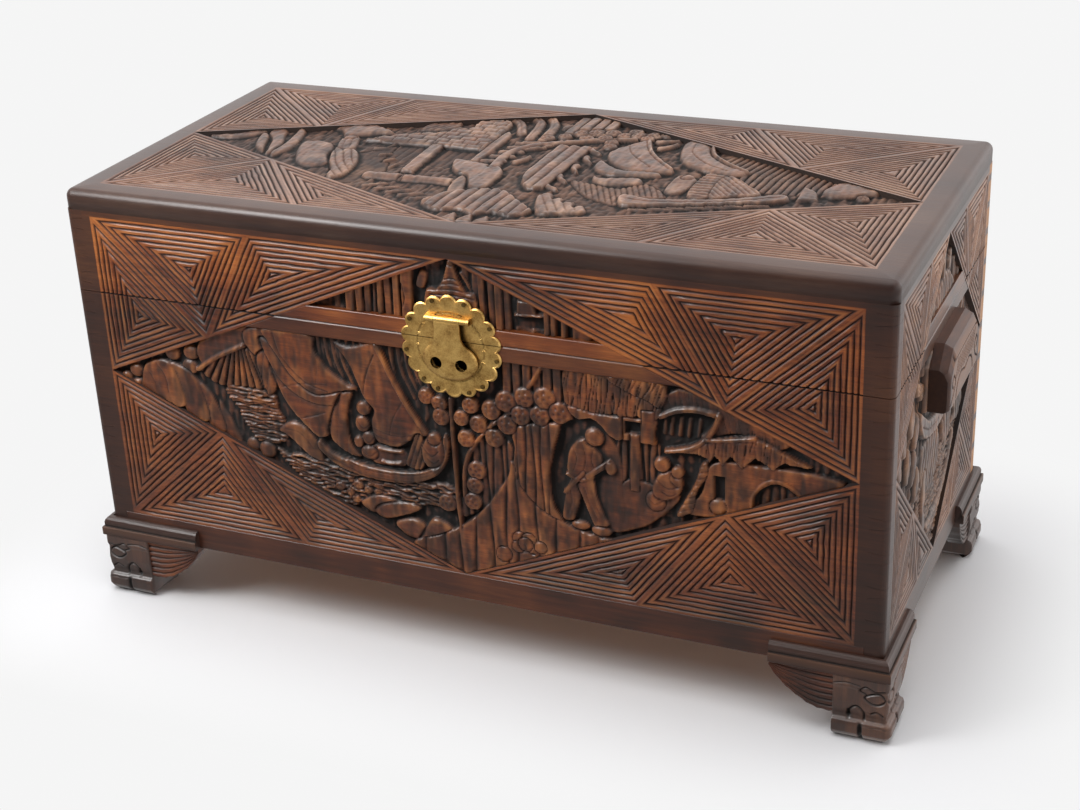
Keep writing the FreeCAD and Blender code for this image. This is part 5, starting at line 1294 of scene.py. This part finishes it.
    # right tip: smooth rock and a small peak
    block((296, 18, 296, 18, 312, 6, 318, -16, 318, -16, 298, -22, 298, -22), -2.0, edge=2.5)
    block((318, 22, 328, 41, 346, 47, 364, 38, 372, 20, 352, 4, 330, -4, 318, 6), -0.8, edge=5, crown=1.8)
    boss(360, 4, 7, -1.6, blossom=True)
    return relief


def topPlank(name, node, side, relief, rows):
    piece = Piece()
    edge = topField["edge"]
    rings = [(topField["margin"], 0.0), (edge, 0.0)]
    rings += [(edge - edge * math.sin(a), edge * math.cos(a) - edge)
              for a in np.linspace(0, math.pi / 2, 7)[1:]]
    rings += [(0.0, -topField["thick"]), (topField["under"], -topField["thick"])]
    points = []
    for away, level in rings:
        half, deep = case["halfLength"] - away, case["halfDepth"] - away
        radius = max(edge - away, 0.05)
        line = [(-half, topField["line"])]
        line += arc((radius - half, deep - radius), radius, np.linspace(math.pi, math.pi / 2, 6))
        line += arc((half - radius, deep - radius), radius, np.linspace(math.pi / 2, 0, 6))
        line += [(half, topField["line"])]
        points += [(u, side * v, level) for u, v in line]
    wide = len(points) // len(rings)
    faces = []
    for ring in range(len(rings) - 1):
        for i in range(wide - 1):
            first = ring * wide + i
            face = (first, first + 1, first + wide + 1, first + wide)
            faces.append(face if side > 0 else face[::-1])
    piece.add(points, faces, smooth=True, stain=0.8)
    under = topField["under"]
    low, high = sorted((side * topField["line"], side * (case["halfDepth"] - under)))
    prism(piece, rectangle(under - case["halfLength"], low, case["halfLength"] - under, high),
          -topField["thick"], -field["back"], backFinish=1, stain=0.3)
    reach = lozengeReach(topField["run"], topField["rise"], 0.0)
    for corner, share in topShares.items():
        if corner.startswith("top") == (side > 0):
            across = -1 if corner.endswith("Left") else 1
            level = side * topField["rise"]
            chevronCorner(piece, (across * topField["run"], level), (across * topField["run"], 0), (0, level),
                          share, reach, field["back"])
    relief.sheet(piece, reach, rows)
    return piece.build(name, "lid", "carved_camphor", [node], panels["top"], ("topWood", "bareLong"))


topRelief = carveTop()
topRelief.settle(lozengeReach(topField["run"], topField["rise"], 0.0))
middleRow = topRelief.v.shape[0] // 2
topPlank("carved_top_front", "lid_top_front_plank", -1, topRelief, slice(0, middleRow + 1))
topPlank("carved_top_rear", "lid_top_rear_plank", 1, topRelief, slice(middleRow, None))

# Paw feet: split toes, a knuckle and an eye, on the two outer faces
paw = {
    "low": np.array([402.0, 167.0]),
    "high": np.array([459.0, 224.0]),
    "tall": case["base"],
    "corner": 5.0,
    "step": 1.0,
    # height, and how far the face stands out there
    "profile": ((0, -7.0), (2, -3.5), (6, 0.5), (10, 3.0), (18, 3.0), (22, 1.6), (24, -2.4), (28, -3.0),
                (36, -1.0), (44, -0.4), (52, -1.2), (58, -1.6), (62, 0.0), (73, 0.0)),
    # lines cut into a face, by the distance from the outer corner and the height, with their width and depth
    "cuts": (((41, 25, 40, 34, 33, 40, 26, 34, 25, 25), 3.8, 2.4),
             ((3, 51, 9, 57, 17, 56, 25, 51, 17, 45, 9, 46, 3, 51), 3.6, 2.6),
             ((4, 62, 14, 60, 24, 64, 30, 58, 24, 55), 3.4, 2.3), ((30, 64, 44, 66, 57, 63), 3.2, 1.7),
             ((6, 32, 12, 36, 18, 33), 3.4, 2.1), ((0, 18, 8, 20, 16, 19, 25, 20), 2.2, 0.9)),
}


def clipLine(line, away, level, width, depth):
    gap, _ = lineDistance(curve(line, closed=False), away, level, closed=False)
    return depth * np.clip(1 - gap / (width / 2), 0, 1)


# Depth cut into a face: the split between the toes, the slot above it and the lines
def pawCut(away, level):
    cut = 4.2 * np.clip(1 - ((away - 28) / 3.0) ** 2, 0, 1) * np.clip((23 - level) / 6, 0, 1)
    slot = np.clip(1 - ((away - 41) / (1.2 + 1.6 * np.clip((38 - level) / 12, 0, 1))) ** 2, 0, 1)
    cut += 3.6 * slot * np.clip((36 - level) / 3, 0, 1) * np.clip((level - 25) / 2, 0, 1)
    for line, width, depth in paw["cuts"]:
        cut = np.maximum(cut, clipLine(line, away, level, width, depth))
    return cut


def pawPiece(signs):
    piece = Piece()
    (lowX, lowY), (highX, highY), radius = paw["low"], paw["high"], paw["corner"]
    # each point of the rim: place, direction outwards, distance from the outer corner (99 where hidden)
    rim = [(lowX, lowY, 0, -1, 99.0), (highX - 6, lowY, 0, -1, 99.0)]
    rim += [(highX, y, 1, 0, highY - y) for y in np.arange(lowY, highY - radius, paw["step"])]
    for a in np.linspace(0, math.pi / 2, 7):
        rim.append((highX - radius + radius * math.cos(a), highY - radius + radius * math.sin(a), math.cos(a),
                    math.sin(a), radius * abs(1 - a / (math.pi / 4))))
    rim += [(x, highY, 0, 1, highX - x) for x in np.arange(highX - radius, lowX - 0.5, -paw["step"])[1:]]
    rim += [(lowX, highY - 6, -1, 0, 99.0)]
    rim = np.array(rim)
    levels = np.arange(0, paw["tall"] + 0.5, paw["step"])
    away, level = np.meshgrid(rim[:, 4], levels)
    outer = away < 90
    push = np.interp(level, *np.array(paw["profile"]).T)
    push = np.where(outer, push, np.minimum(push, 0) * (level < 5))
    cut = np.where(outer, pawCut(away, level), 0.0)
    x = (rim[:, 0] + rim[:, 2] * (push - cut)) * signs[0]
    y = (rim[:, 1] + rim[:, 3] * (push - cut)) * signs[1]
    points = np.column_stack([x.ravel(), y.ravel(), level.ravel()])
    faces = tube(len(levels), len(rim))
    if signs[0] * signs[1] < 0:
        faces = [face[::-1] for face in faces]
    # painted shade in the cuts and where the face falls back
    dark = np.clip(cut / 2.2 + np.clip(-push - 1.6, 0, 1) * 0.25, 0, 0.95)
    piece.add(points, faces, smooth=True, sunk=dark.ravel(), stain=0.45)
    return piece


# Takes what was made along x at the first corner to its own corner and side
def turned(points, faces, alongX, signs):
    points = (points if alongX else points[:, [1, 0, 2]]) * (*signs, 1)
    if signs[0] * signs[1] * (1 if alongX else -1) > 0:
        faces = [face[::-1] for face in faces]
    return points, faces


# Bracket wings: flutes that fan out from the tip, over a scalloped lower edge
wing = {"tip": 6.0, "tall": 48.0, "flutes": 7, "cutDepth": 2.0, "scallop": 1.2, "columns": 40, "rows": 57,
        "shape": ((0.0, 0.0), (0.12, 0.28), (0.28, 0.55), (0.5, 0.8), (0.64, 0.93), (0.8, 1.0), (1.0, 1.0))}


def wingPiece(start, end, inner, outer, alongX, signs):
    piece = Piece()
    share = np.linspace(0, 1, wing["columns"])
    down = np.linspace(0, 1, wing["rows"])
    along, low = np.meshgrid(share, down, indexing="ij")
    fall = wing["tip"] + (wing["tall"] - wing["tip"]) * np.interp(along, *np.array(wing["shape"]).T)
    fall = fall - wing["scallop"] * np.abs(np.cos(along * math.pi * 6)) * low ** 6
    valley = (1 - np.abs(np.sin(math.pi * wing["flutes"] * low))) ** 1.4
    cut = wing["cutDepth"] * np.clip(0.3 + along, 0, 1) * valley
    run = start + (end - start) * along
    level = paw["tall"] - fall * low
    front = np.stack([run, outer - cut, level], -1)
    back = np.stack([run[:, [-1, 0]], np.full((wing["columns"], 2), inner), level[:, [-1, 0]]], -1)
    loop = np.concatenate([front, back], 1)
    points, faces = turned(loop.reshape(-1, 3), tube(wing["columns"], loop.shape[1]), alongX, signs)
    # painted shade in the flutes
    dark = np.concatenate([cut / 2.2, np.zeros((wing["columns"], 2))], 1)
    piece.add(points, faces, sunk=np.clip(dark, 0, 0.95).ravel(), stain=0.3)
    return piece


# Foot mouldings: a plain band with a quirk and a rounded nosing above it, mitred at the corner
moulding = {"profile": ((0, 0), (9.2, 0), (10, 0.8), (10, 9.6), (9.4, 10.6), (7.4, 10.8), (7.2, 11.4),
                        (7.6, 13.5), (7.5, 16), (6.6, 18.8), (5.0, 20.8), (2.8, 22), (0, 22)),
            "quirk": (5, 6), "rubbedAndHighlit": (3, 4)}


def mouldingPiece(start, inner, corner, low, alongX, signs):
    piece = Piece()
    points = [(start, inner + out, low + rise) for out, rise in moulding["profile"]]
    points += [(corner + out, inner + out, low + rise) for out, rise in moulding["profile"]]
    count = len(moulding["profile"])
    points, faces = turned(np.array(points), tube(2, count), alongX, signs)
    # painted shade in the quirk, and a painted highlight on the upper edge of the band
    sunk, worn = (np.tile([amount if i in moulding[mark] else 0.0 for i in range(count)], 2)
                  for mark, amount in (("quirk", 0.8), ("rubbedAndHighlit", 0.1)))
    piece.add(points, faces, sunk=sunk, worn=worn)
    return piece


plainFrame = panelMatrix((1, 0, 0), (0, 1, 0), (0, 0, 1), (0, 0, 0))


def buildFootPart(piece, kind, foot, part, look):
    piece.build(f"{kind}_{foot}_{part}", "chest", "carved_camphor", [f"{foot}_{part}"], plainFrame, (look,))


for row, signY in (("front", -1), ("rear", 1)):
    for column, signX in (("right", 1), ("left", -1)):
        foot = f"{row}_{column}_foot"
        signs = (signX, signY)
        longBox, endBox = (np.abs(inMm(f"{foot}_{part}")) for part in ("long_wing", "end_wing"))
        longLow, longHigh = longBox.min(0), longBox.max(0)
        endLow, endHigh = endBox.min(0), endBox.max(0)
        buildFootPart(pawPiece(signs), "carved", foot, "paw", "uprightWood")
        buildFootPart(wingPiece(longLow[0], longHigh[0], longLow[1], longHigh[1], True, signs), "carved",
                      foot, "long_wing", "longWood")
        buildFootPart(wingPiece(endLow[1], endHigh[1], endLow[0], endHigh[0], False, signs), "carved", foot,
                      "end_wing", "endWood")
        longLow, endLow = (np.abs(inMm(f"{foot}_{part}_moulding")).min(0) for part in ("long", "end"))
        buildFootPart(mouldingPiece(longLow[0], longLow[1], endLow[0], longLow[2], True, signs), "stained",
                      foot, "long_moulding", "borderLong")
        buildFootPart(mouldingPiece(endLow[1], endLow[0], longLow[1], endLow[2], False, signs), "stained",
                      foot, "end_moulding", "borderEnd")


# Scrolls cut into the face of a handle
def handleCut(u, v):
    cut = np.zeros(u.shape)
    for side in (-1, 1):
        for line in ((66, 304, 52, 312, 46, 324, 54, 332, 60, 325, 55, 319),
                     (40, 303, 34, 316, 20, 322, 0, 318)):
            bent = np.array(line, float)
            bent[0::2] *= side
            cut = np.maximum(cut, clipLine(bent, u, v, 3.0, 1.6))
    for place in np.arange(-40, 41, 8.0):
        cut = np.maximum(cut, clipLine((place - 4, 326, place, 334, place + 5, 344), u, v, 2.2, 1.3))
    return np.maximum(cut, clipLine((-62, 342, -44, 348, 44, 348, 62, 342), u, v, 2.4, 1.2))


def handlePiece():
    piece = Piece()
    half, low, high = handle["half"], handle["low"], handle["high"]
    proud, bevel, edge = handle["proud"], handle["bevel"], handle["round"]
    places = [(u, abs(u) < handle["gripHalf"]) for u in np.linspace(-half, half, handle["columns"])]
    for side in (-1, 1):
        places += [(side * handle["gripHalf"], False), (side * handle["gripHalf"], True)]
    places.sort(key=lambda place: (place[0], place[1] if place[0] < 0 else not place[1]))
    rows = handle["rows"]
    sections = []
    for u, hollow in places:
        corner = (abs(u) - half + handle["cornerRun"]) / handle["cornerRun"]
        top = high - handle["cornerFall"] * np.clip(corner, 0, 1)
        slope = [(top, 0.0), (top, proud - bevel), (top - bevel * 0.35, proud - bevel * 0.3)]
        face = [(v, proud) for v in np.linspace(top - bevel, low + edge, rows)]
        foot = [(low + edge * (1 - math.sin(a)), proud - edge * (1 - math.cos(a)))
                for a in np.linspace(0, math.pi / 2, 5)[1:]]
        roof = handle["gripRoof"] if hollow else low
        foot += [(low, handle["gripDeep"]), (roof, handle["gripDeep"]), (roof, 0.0)]
        sections.append([(u, v, h) for v, h in slope + face + foot])
    grid = np.array(sections)
    fronts = slice(3, 3 + rows)
    cut = np.zeros(grid.shape[:2])
    cut[:, fronts] = handleCut(grid[:, fronts, 0], grid[:, fronts, 1])
    grid[:, :, 2] -= cut
    ends = np.clip((np.abs(grid[:, :, 0]) - half + handle["endRun"]) / handle["endRun"], 0, 1)
    grid[:, :, 2] -= handle["endFall"] * ends ** 2 * (grid[:, :, 2] > proud / 2)
    faces = tube(len(places), grid.shape[1])
    # the held middle of the face is made lighter, wear with a painted highlight; the cuts get painted shade,
    # and the ends are stained darker as painted shade
    held = np.abs(grid[:, fronts, 0]) < handle["rubbedAndHighlitHalf"]
    rubbedAndHighlit = np.zeros(cut.shape)
    rubbedAndHighlit[:, fronts] = handle["rubbedAndHighlit"] * held * (cut[:, fronts] < 0.3)
    piece.add(grid.reshape(-1, 3), faces, sunk=np.clip(cut / 1.6, 0, 0.9).ravel(), worn=rubbedAndHighlit.ravel(),
              stain=(0.55 + 0.3 * ends).ravel())
    return piece


for side in ("right", "left"):
    handlePiece().build(f"carved_{side}_handle", "chest", "carved_camphor", [f"{side}_handle"], panels[side],
                        ("handleWood",))

# Hasp: a rolled knuckle, a neck, and a broad lobe with two holes, domed down to the plate at its lower edge
hasp = {"half": 14.0, "face": 9.0, "thick": 2.0, "lobe": 352.0, "middle": 354.0, "wide": 30.5, "tall": 22.0,
        "lowRim": 2.9, "highRim": 6.4, "hole": 6.5, "holeOff": 14.0, "step": 1.6, "neckFrom": 366.0,
        "neckRun": 12.0, "neckEase": 1.6, "shoulderHalf": 21.0, "clear": 0.9,
        "shoulder": ((14.0, 398.0), (14.0, 386.0), (14.8, 379.0), (17.2, 373.8))}

# Lock plate: two halves of one scalloped sheet, each petal dished, with ears for the hasp on the upper one
plate = {"middle": 368.0, "petals": 18, "petalRadius": 9.5, "petalCircle": 46.5, "thick": 1.6, "dish": 0.35,
         "bead": 0.5, "ring": 37.0, "ringDeep": 0.5, "line": 1.4, "rimFall": 0.7, "petalSteps": 14,
         "rings": 34, "earLow": 14.3, "earHigh": 24.3, "earRadius": 3.4, "pivot": (399.0, 5.6)}


# Distance to the middle of the nearer hole of the hasp
def toHole(u, v):
    return np.hypot(np.abs(u) - hasp["holeOff"], v - hasp["lobe"])


def platePiece(seam, ears):
    piece = Piece()
    step = 2 * math.pi / plate["petals"]
    angles = np.arange(plate["petals"] * plate["petalSteps"]) * step / plate["petalSteps"]
    fromPetal = (angles - math.pi / 2 + step / 2) % step - step / 2
    circle, petal = plate["petalCircle"], plate["petalRadius"]
    rim = circle * np.cos(fromPetal) + np.sqrt(petal ** 2 - (circle * np.sin(fromPetal)) ** 2)
    shell = bmesh.new()
    mark = shell.verts.layers.float.new("sunk")
    holeShadow = shell.verts.layers.float.new("stain")
    rings = []
    for share in np.linspace(0, 1, plate["rings"])[1:]:
        ring = []
        for angle, off, reach in zip(angles, fromPetal, rim):
            radius = reach * share
            toPetal = math.hypot(radius * math.cos(off) - circle, radius * math.sin(off)) / petal
            dish = max(0.0, 1 - (toPetal / 0.82) ** 2)
            line = max(0.0, 1 - abs(radius - plate["ring"]) / plate["line"])
            bead = max(0.0, 1 - abs(reach - radius - plate["line"]) / plate["line"])
            level = plate["thick"] - plate["dish"] * dish - plate["ringDeep"] * line
            level = level - plate["rimFall"] * (share > 0.985) + plate["bead"] * bead
            vert = shell.verts.new((radius * math.cos(angle), plate["middle"] + radius * math.sin(angle),
                                    level))
            vert[mark] = min(1.0, 0.25 * dish + 0.7 * line)
            # painted shadow: under the hasp's holes the plate is painted near-black and sunk a little
            vert[holeShadow] = 1.0 if toHole(vert.co.x, vert.co.y) < hasp["hole"] + 1.5 else 0.0
            vert.co.z -= 1.2 * vert[holeShadow]
            ring.append(vert)
        rings.append(ring)
    centre = shell.verts.new((0, plate["middle"], plate["thick"]))
    count = len(angles)
    for i in range(count):
        j = (i + 1) % count
        shell.faces.new((centre, rings[0][i], rings[0][j]))
        for inner, outer in zip(rings, rings[1:]):
            shell.faces.new((inner[i], outer[i], outer[j], inner[j]))
    trim(shell, seam)
    rimEdges = [edge for edge in shell.edges if edge.is_boundary]
    grown = bmesh.ops.extrude_edge_only(shell, edges=rimEdges)["geom"]
    for vert in grown:
        if isinstance(vert, bmesh.types.BMVert):
            vert.co.z = 0.0
    shell.verts.index_update()
    piece.add([tuple(vert.co) for vert in shell.verts],
              [tuple(vert.index for vert in face.verts) for face in shell.faces],
              sunk=[vert[mark] for vert in shell.verts], stain=[vert[holeShadow] for vert in shell.verts])
    shell.free()
    if ears:
        middle, out = plate["pivot"]
        radius = plate["earRadius"]
        section = [(middle - radius, 1.2), (middle + radius, 1.2)]
        section += arc((middle, out), radius, np.linspace(0, math.pi, 13))
        for low, high in ((plate["earLow"], plate["earHigh"]), (-plate["earHigh"], -plate["earLow"])):
            piece.add([(u, v, h) for u in (low, high) for v, h in section], tube(2, len(section)))
    return piece


platePiece((case["lidBase"], -1), True).build("brass_plate_upper", "lid", "aged_brass", ["lock_plate_upper"],
                                              panels["front"], ("brass",))
platePiece((case["bodyTop"], 1), False).build("brass_plate_lower", "chest", "aged_brass",
                                              ["lock_plate_lower"], panels["front"], ("brass",))


def haspLevel(u, v):
    away = np.hypot(u / hasp["wide"], (v - hasp["middle"]) / hasp["tall"])
    upper = np.clip((v - hasp["middle"] + hasp["tall"]) / (2 * hasp["tall"]), 0, 1)
    rim = hasp["lowRim"] + (hasp["highRim"] - hasp["lowRim"]) * upper ** 1.5
    dome = rim + (hasp["face"] - rim) * np.sqrt(np.clip(1 - away ** 3, 0, 1))
    ease = hasp["neckEase"]
    neck = hasp["face"] - 0.6 * np.clip((np.abs(u) - hasp["half"] + ease) / ease, 0, 1) ** 2
    rise = np.clip((v - hasp["neckFrom"]) / hasp["neckRun"], 0, 1)
    level = dome + (neck - dome) * rise * rise * (3 - 2 * rise)
    return level + 0.5 * np.clip(1 - np.abs(toHole(u, v) - hasp["hole"] - 0.8) / 1.6, 0, 1)


def haspPiece():
    piece = Piece()
    first = math.acos(hasp["shoulderHalf"] / hasp["wide"])
    right = list(hasp["shoulder"])
    outline = arc((0, hasp["middle"]), hasp["wide"], np.linspace(-math.pi - first, first, 53), hasp["tall"])
    outline += right[::-1] + [(-u, v) for u, v in right]
    turns = np.linspace(0, 2 * math.pi, 25)[-2::-1]
    holes = [arc((side * hasp["holeOff"], hasp["lobe"]), hasp["hole"], turns) for side in (-1, 1)]
    u, v = (axis.ravel() for axis in np.meshgrid(np.arange(-32, 32, hasp["step"]),
                                                 np.arange(320, 398, hasp["step"])))
    gap, inside = lineDistance(np.array(outline), u, v)
    kept = inside & (gap > 0.8) & (toHole(u, v) - hasp["hole"] > 0.8)
    loops = [outline] + holes
    points = [Vector(p) for loop in loops for p in loop] + [Vector(p) for p in zip(u[kept], v[kept])]
    edges, start = [], 0
    for loop in loops:
        edges += [(start + i, start + (i + 1) % len(loop)) for i in range(len(loop))]
        start += len(loop)
    flat, _, triangles = delaunay_2d_cdt(points, edges, [], 1, 1e-5)[:3]
    flat = np.array([tuple(p) for p in flat])
    middles = np.array([flat[list(face)].mean(0) for face in triangles])
    hollows = toHole(middles[:, 0], middles[:, 1]) < hasp["hole"] - 0.1
    triangles = [face for face, hollow in zip(triangles, hollows) if not hollow]
    level = haspLevel(flat[:, 0], flat[:, 1])
    piece.add(np.column_stack([flat, level]), triangles, smooth=True)
    under = np.maximum(level - hasp["thick"], plate["thick"] + hasp["clear"])
    # the underside gets painted shade
    piece.add(np.column_stack([flat, under]), [tuple(face)[::-1] for face in triangles], smooth=True,
              sunk=0.8)
    for loop in loops:
        line = np.array(loop)
        top = haspLevel(line[:, 0], line[:, 1])
        low = np.maximum(top - hasp["thick"], plate["thick"] + hasp["clear"])
        wall = np.vstack([np.column_stack([line, low]), np.column_stack([line, top])])
        # the walls of the outline and of the holes get a little painted shade
        piece.add(wall, bands(2, len(loop)), smooth=True, sunk=0.25)
    ring = arc(plate["pivot"], plate["earRadius"], np.linspace(0, 2 * math.pi, 29)[:-1])
    barrel = [(side * hasp["half"], v, h) for side in (-1, 1) for v, h in ring]
    piece.add(barrel, bands(2, len(ring)), smooth=True)
    # the ends of the knuckle get painted shade where they meet the ears
    piece.add(barrel, tube(2, len(ring))[-2:], sunk=0.5)
    return piece


haspPiece().build("brass_hasp", "hasp", "aged_brass", ["hasp"], panels["front"], ("brass",))

# Finish of the CAD pieces that stay as they are, by the first of these words in the name
finishes = (("nails", "brassDull"), ("screws", "steel"), ("hinge", "brass"), ("stay", "brass"),
            ("plate", "brass"), ("hasp", "brass"), ("long_moulding", "borderLong"),
            ("end_moulding", "borderEnd"), ("back_board", "backWood"), ("bottom_plank", "bareLong"),
            ("dowels", "bareLong"), ("end", "endWood"), ("handle", "endWood"), ("", "longWood"))
for name, node in nodes.items():
    look = next(look for word, look in finishes if word in name)
    node.data.materials.clear()
    node.data.materials.append(materials[look])


# Studio: a pale floor, a white surround that is brighter behind the chest, and broad soft lamps
studio = {
    "floorSize": 14.0,
    "floorColour": "#e5e5e7",
    "shown": 0.915,             # what the camera sees of the surround and of the far floor
    "floorMirrored": 0.66,      # what the wax mirrors of the floor, in the middle and at the right
    "floorMirroredRight": 1.35,
    "front": 0.1,               # light of the surround from the front, the rear and the right
    "rear": 0.6,
    "right": 0.42,
    "mirroredFront": 0.08,      # the same as the wax mirrors it
    "mirrored": 1.75,
    "mirroredRight": 2.2,
    "fadeFrom": 0.0,            # distances from the chest, in metres, over which the floor fades to white
    "fadeTo": 0.24,
}


def buildStudio():
    bpy.ops.mesh.primitive_plane_add(size=studio["floorSize"])
    floor = bpy.context.object
    floor.name = "studio_floor"
    material, tree, shader = newMaterial("paper_sweep")
    feed(tree, shader, {"Base Color": srgb(studio["floorColour"]), "Roughness": 0.9,
                        "Specular IOR Level": 0.2})
    # away from the chest the camera sees the sweep as even white, and waxed wood mirrors little of it
    place = addNode(tree, "TexCoord").outputs["Object"]
    chest = (case["halfLength"] * mm, case["halfDepth"] * mm, 0)
    past = addNode(tree, "VectorMath", {0: place}, operation="ABSOLUTE").outputs["Vector"]
    past = addNode(tree, "VectorMath", {0: past, 1: chest}, operation="SUBTRACT").outputs["Vector"]
    past = addNode(tree, "VectorMath", {0: past, 1: (0, 0, 0)}, operation="MAXIMUM").outputs["Vector"]
    away = addNode(tree, "VectorMath", {0: past}, operation="LENGTH")
    fade = addNode(tree, "MapRange", {"Value": away.outputs["Value"], "From Min": studio["fadeFrom"],
                                      "From Max": studio["fadeTo"]}, interpolation_type="SMOOTHSTEP")
    rayKind = addNode(tree, "LightPath")
    seen = addNode(tree, "Math", {0: fade.outputs[0], 1: rayKind.outputs["Is Camera Ray"]},
                   operation="MULTIPLY")
    glow = addNode(tree, "Emission", {"Color": (1, 1, 1, 1), "Strength": studio["shown"]})
    across = addNode(tree, "SeparateXYZ", {"Vector": place})
    mirrored = addNode(tree, "MapRange", {"Value": across.outputs["X"], "From Min": 0.4, "From Max": 0.9,
                                          "To Min": studio["floorMirrored"],
                                          "To Max": studio["floorMirroredRight"]})
    dim = addNode(tree, "Emission", {"Color": (1, 1, 1, 1), "Strength": mirrored.outputs[0]})
    mixed = addNode(tree, "MixShader", {0: rayKind.outputs["Is Glossy Ray"], 1: shader.outputs["BSDF"],
                                        2: dim.outputs["Emission"]})
    mixed = addNode(tree, "MixShader", {0: seen.outputs[0], 1: mixed.outputs["Shader"],
                                        2: glow.outputs["Emission"]})
    tree.links.new(mixed.outputs["Shader"], tree.nodes["Material Output"].inputs["Surface"])
    floor.data.materials.append(material)
    world = bpy.data.worlds.new("studio")
    bpy.context.scene.world = world
    world.use_nodes = True
    tree = world.node_tree
    side = addNode(tree, "SeparateXYZ", {"Vector": addNode(tree, "TexCoord").outputs["Generated"]})
    path = addNode(tree, "LightPath")

    def surround(front, rear, right):
        along = addNode(tree, "MapRange", {"Value": side.outputs["Y"], "From Min": -0.6, "From Max": 0.4,
                                           "To Min": front, "To Max": rear})
        across = addNode(tree, "MapRange", {"Value": side.outputs["X"], "From Min": 0.2, "From Max": 0.9,
                                            "To Min": 0.0, "To Max": right})
        return addNode(tree, "Math", {0: along.outputs[0], 1: across.outputs[0]}, operation="ADD").outputs[0]
    light = surround(studio["front"], studio["rear"], studio["right"])
    gloss = surround(studio["mirroredFront"], studio["mirrored"], studio["mirroredRight"])
    strength = addNode(tree, "Mix", {0: path.outputs["Is Glossy Ray"], 2: light, 3: gloss})
    shown = addNode(tree, "Mix", {0: path.outputs["Is Camera Ray"], 2: strength.outputs[0],
                                  3: studio["shown"]})
    background = tree.nodes["Background"]
    background.inputs["Color"].default_value = (1, 1, 1, 1)
    tree.links.new(shown.outputs[0], background.inputs["Strength"])


# Lamps: places, aims and sizes in metres; the shine of the left one is a lamp of its own
lamps = (
    {"name": "overhead_box", "at": (0.0, -0.2, 2.8), "aim": (0, -0.2, 0), "size": 3.0, "power": 74},
    {"name": "left_key", "at": (-0.95, -1.05, 1.4), "aim": (-0.25, -0.2, 0.35), "size": 0.7, "power": 14},
    {"name": "left_shine", "at": (-0.95, -1.05, 1.4), "aim": (-0.25, -0.2, 0.35), "size": 0.7, "power": 85,
     "shineOnly": True},
)


def buildLamps():
    for lamp in lamps:
        data = bpy.data.lights.new(lamp["name"], "AREA")
        data.energy = lamp["power"]
        data.size = lamp["size"]
        thing = bpy.data.objects.new(lamp["name"], data)
        bpy.context.scene.collection.objects.link(thing)
        thing.location = lamp["at"]
        thing.visible_diffuse = not lamp.get("shineOnly", False)
        thing.rotation_euler = (Vector(lamp["aim"]) - Vector(lamp["at"])).to_track_quat("-Z", "Y").to_euler()


# Camera of the photograph: place in metres, turns in radians, lens for a 36 mm sensor
view = {"at": (0.796, -1.777, 1.134), "yaw": 0.4221, "pitch": -0.4451, "roll": 0.0449, "lens": 63.54,
        "sensor": 36.0}


def buildCamera():
    data = bpy.data.cameras.new("photo_view")
    data.lens = view["lens"]
    data.sensor_width = view["sensor"]
    camera = bpy.data.objects.new("photo_view", data)
    bpy.context.scene.collection.objects.link(camera)
    turn = (Matrix.Rotation(view["yaw"], 4, "Z") @ Matrix.Rotation(view["pitch"], 4, "X")
            @ Matrix.Rotation(view["roll"], 4, "Y") @ Matrix.Rotation(math.pi / 2, 4, "X"))
    camera.matrix_world = Matrix.Translation(view["at"]) @ turn
    bpy.context.scene.camera = camera


buildStudio()
buildLamps()
buildCamera()
bpy.context.scene.view_settings.view_transform = "Standard"
print("studio ready")
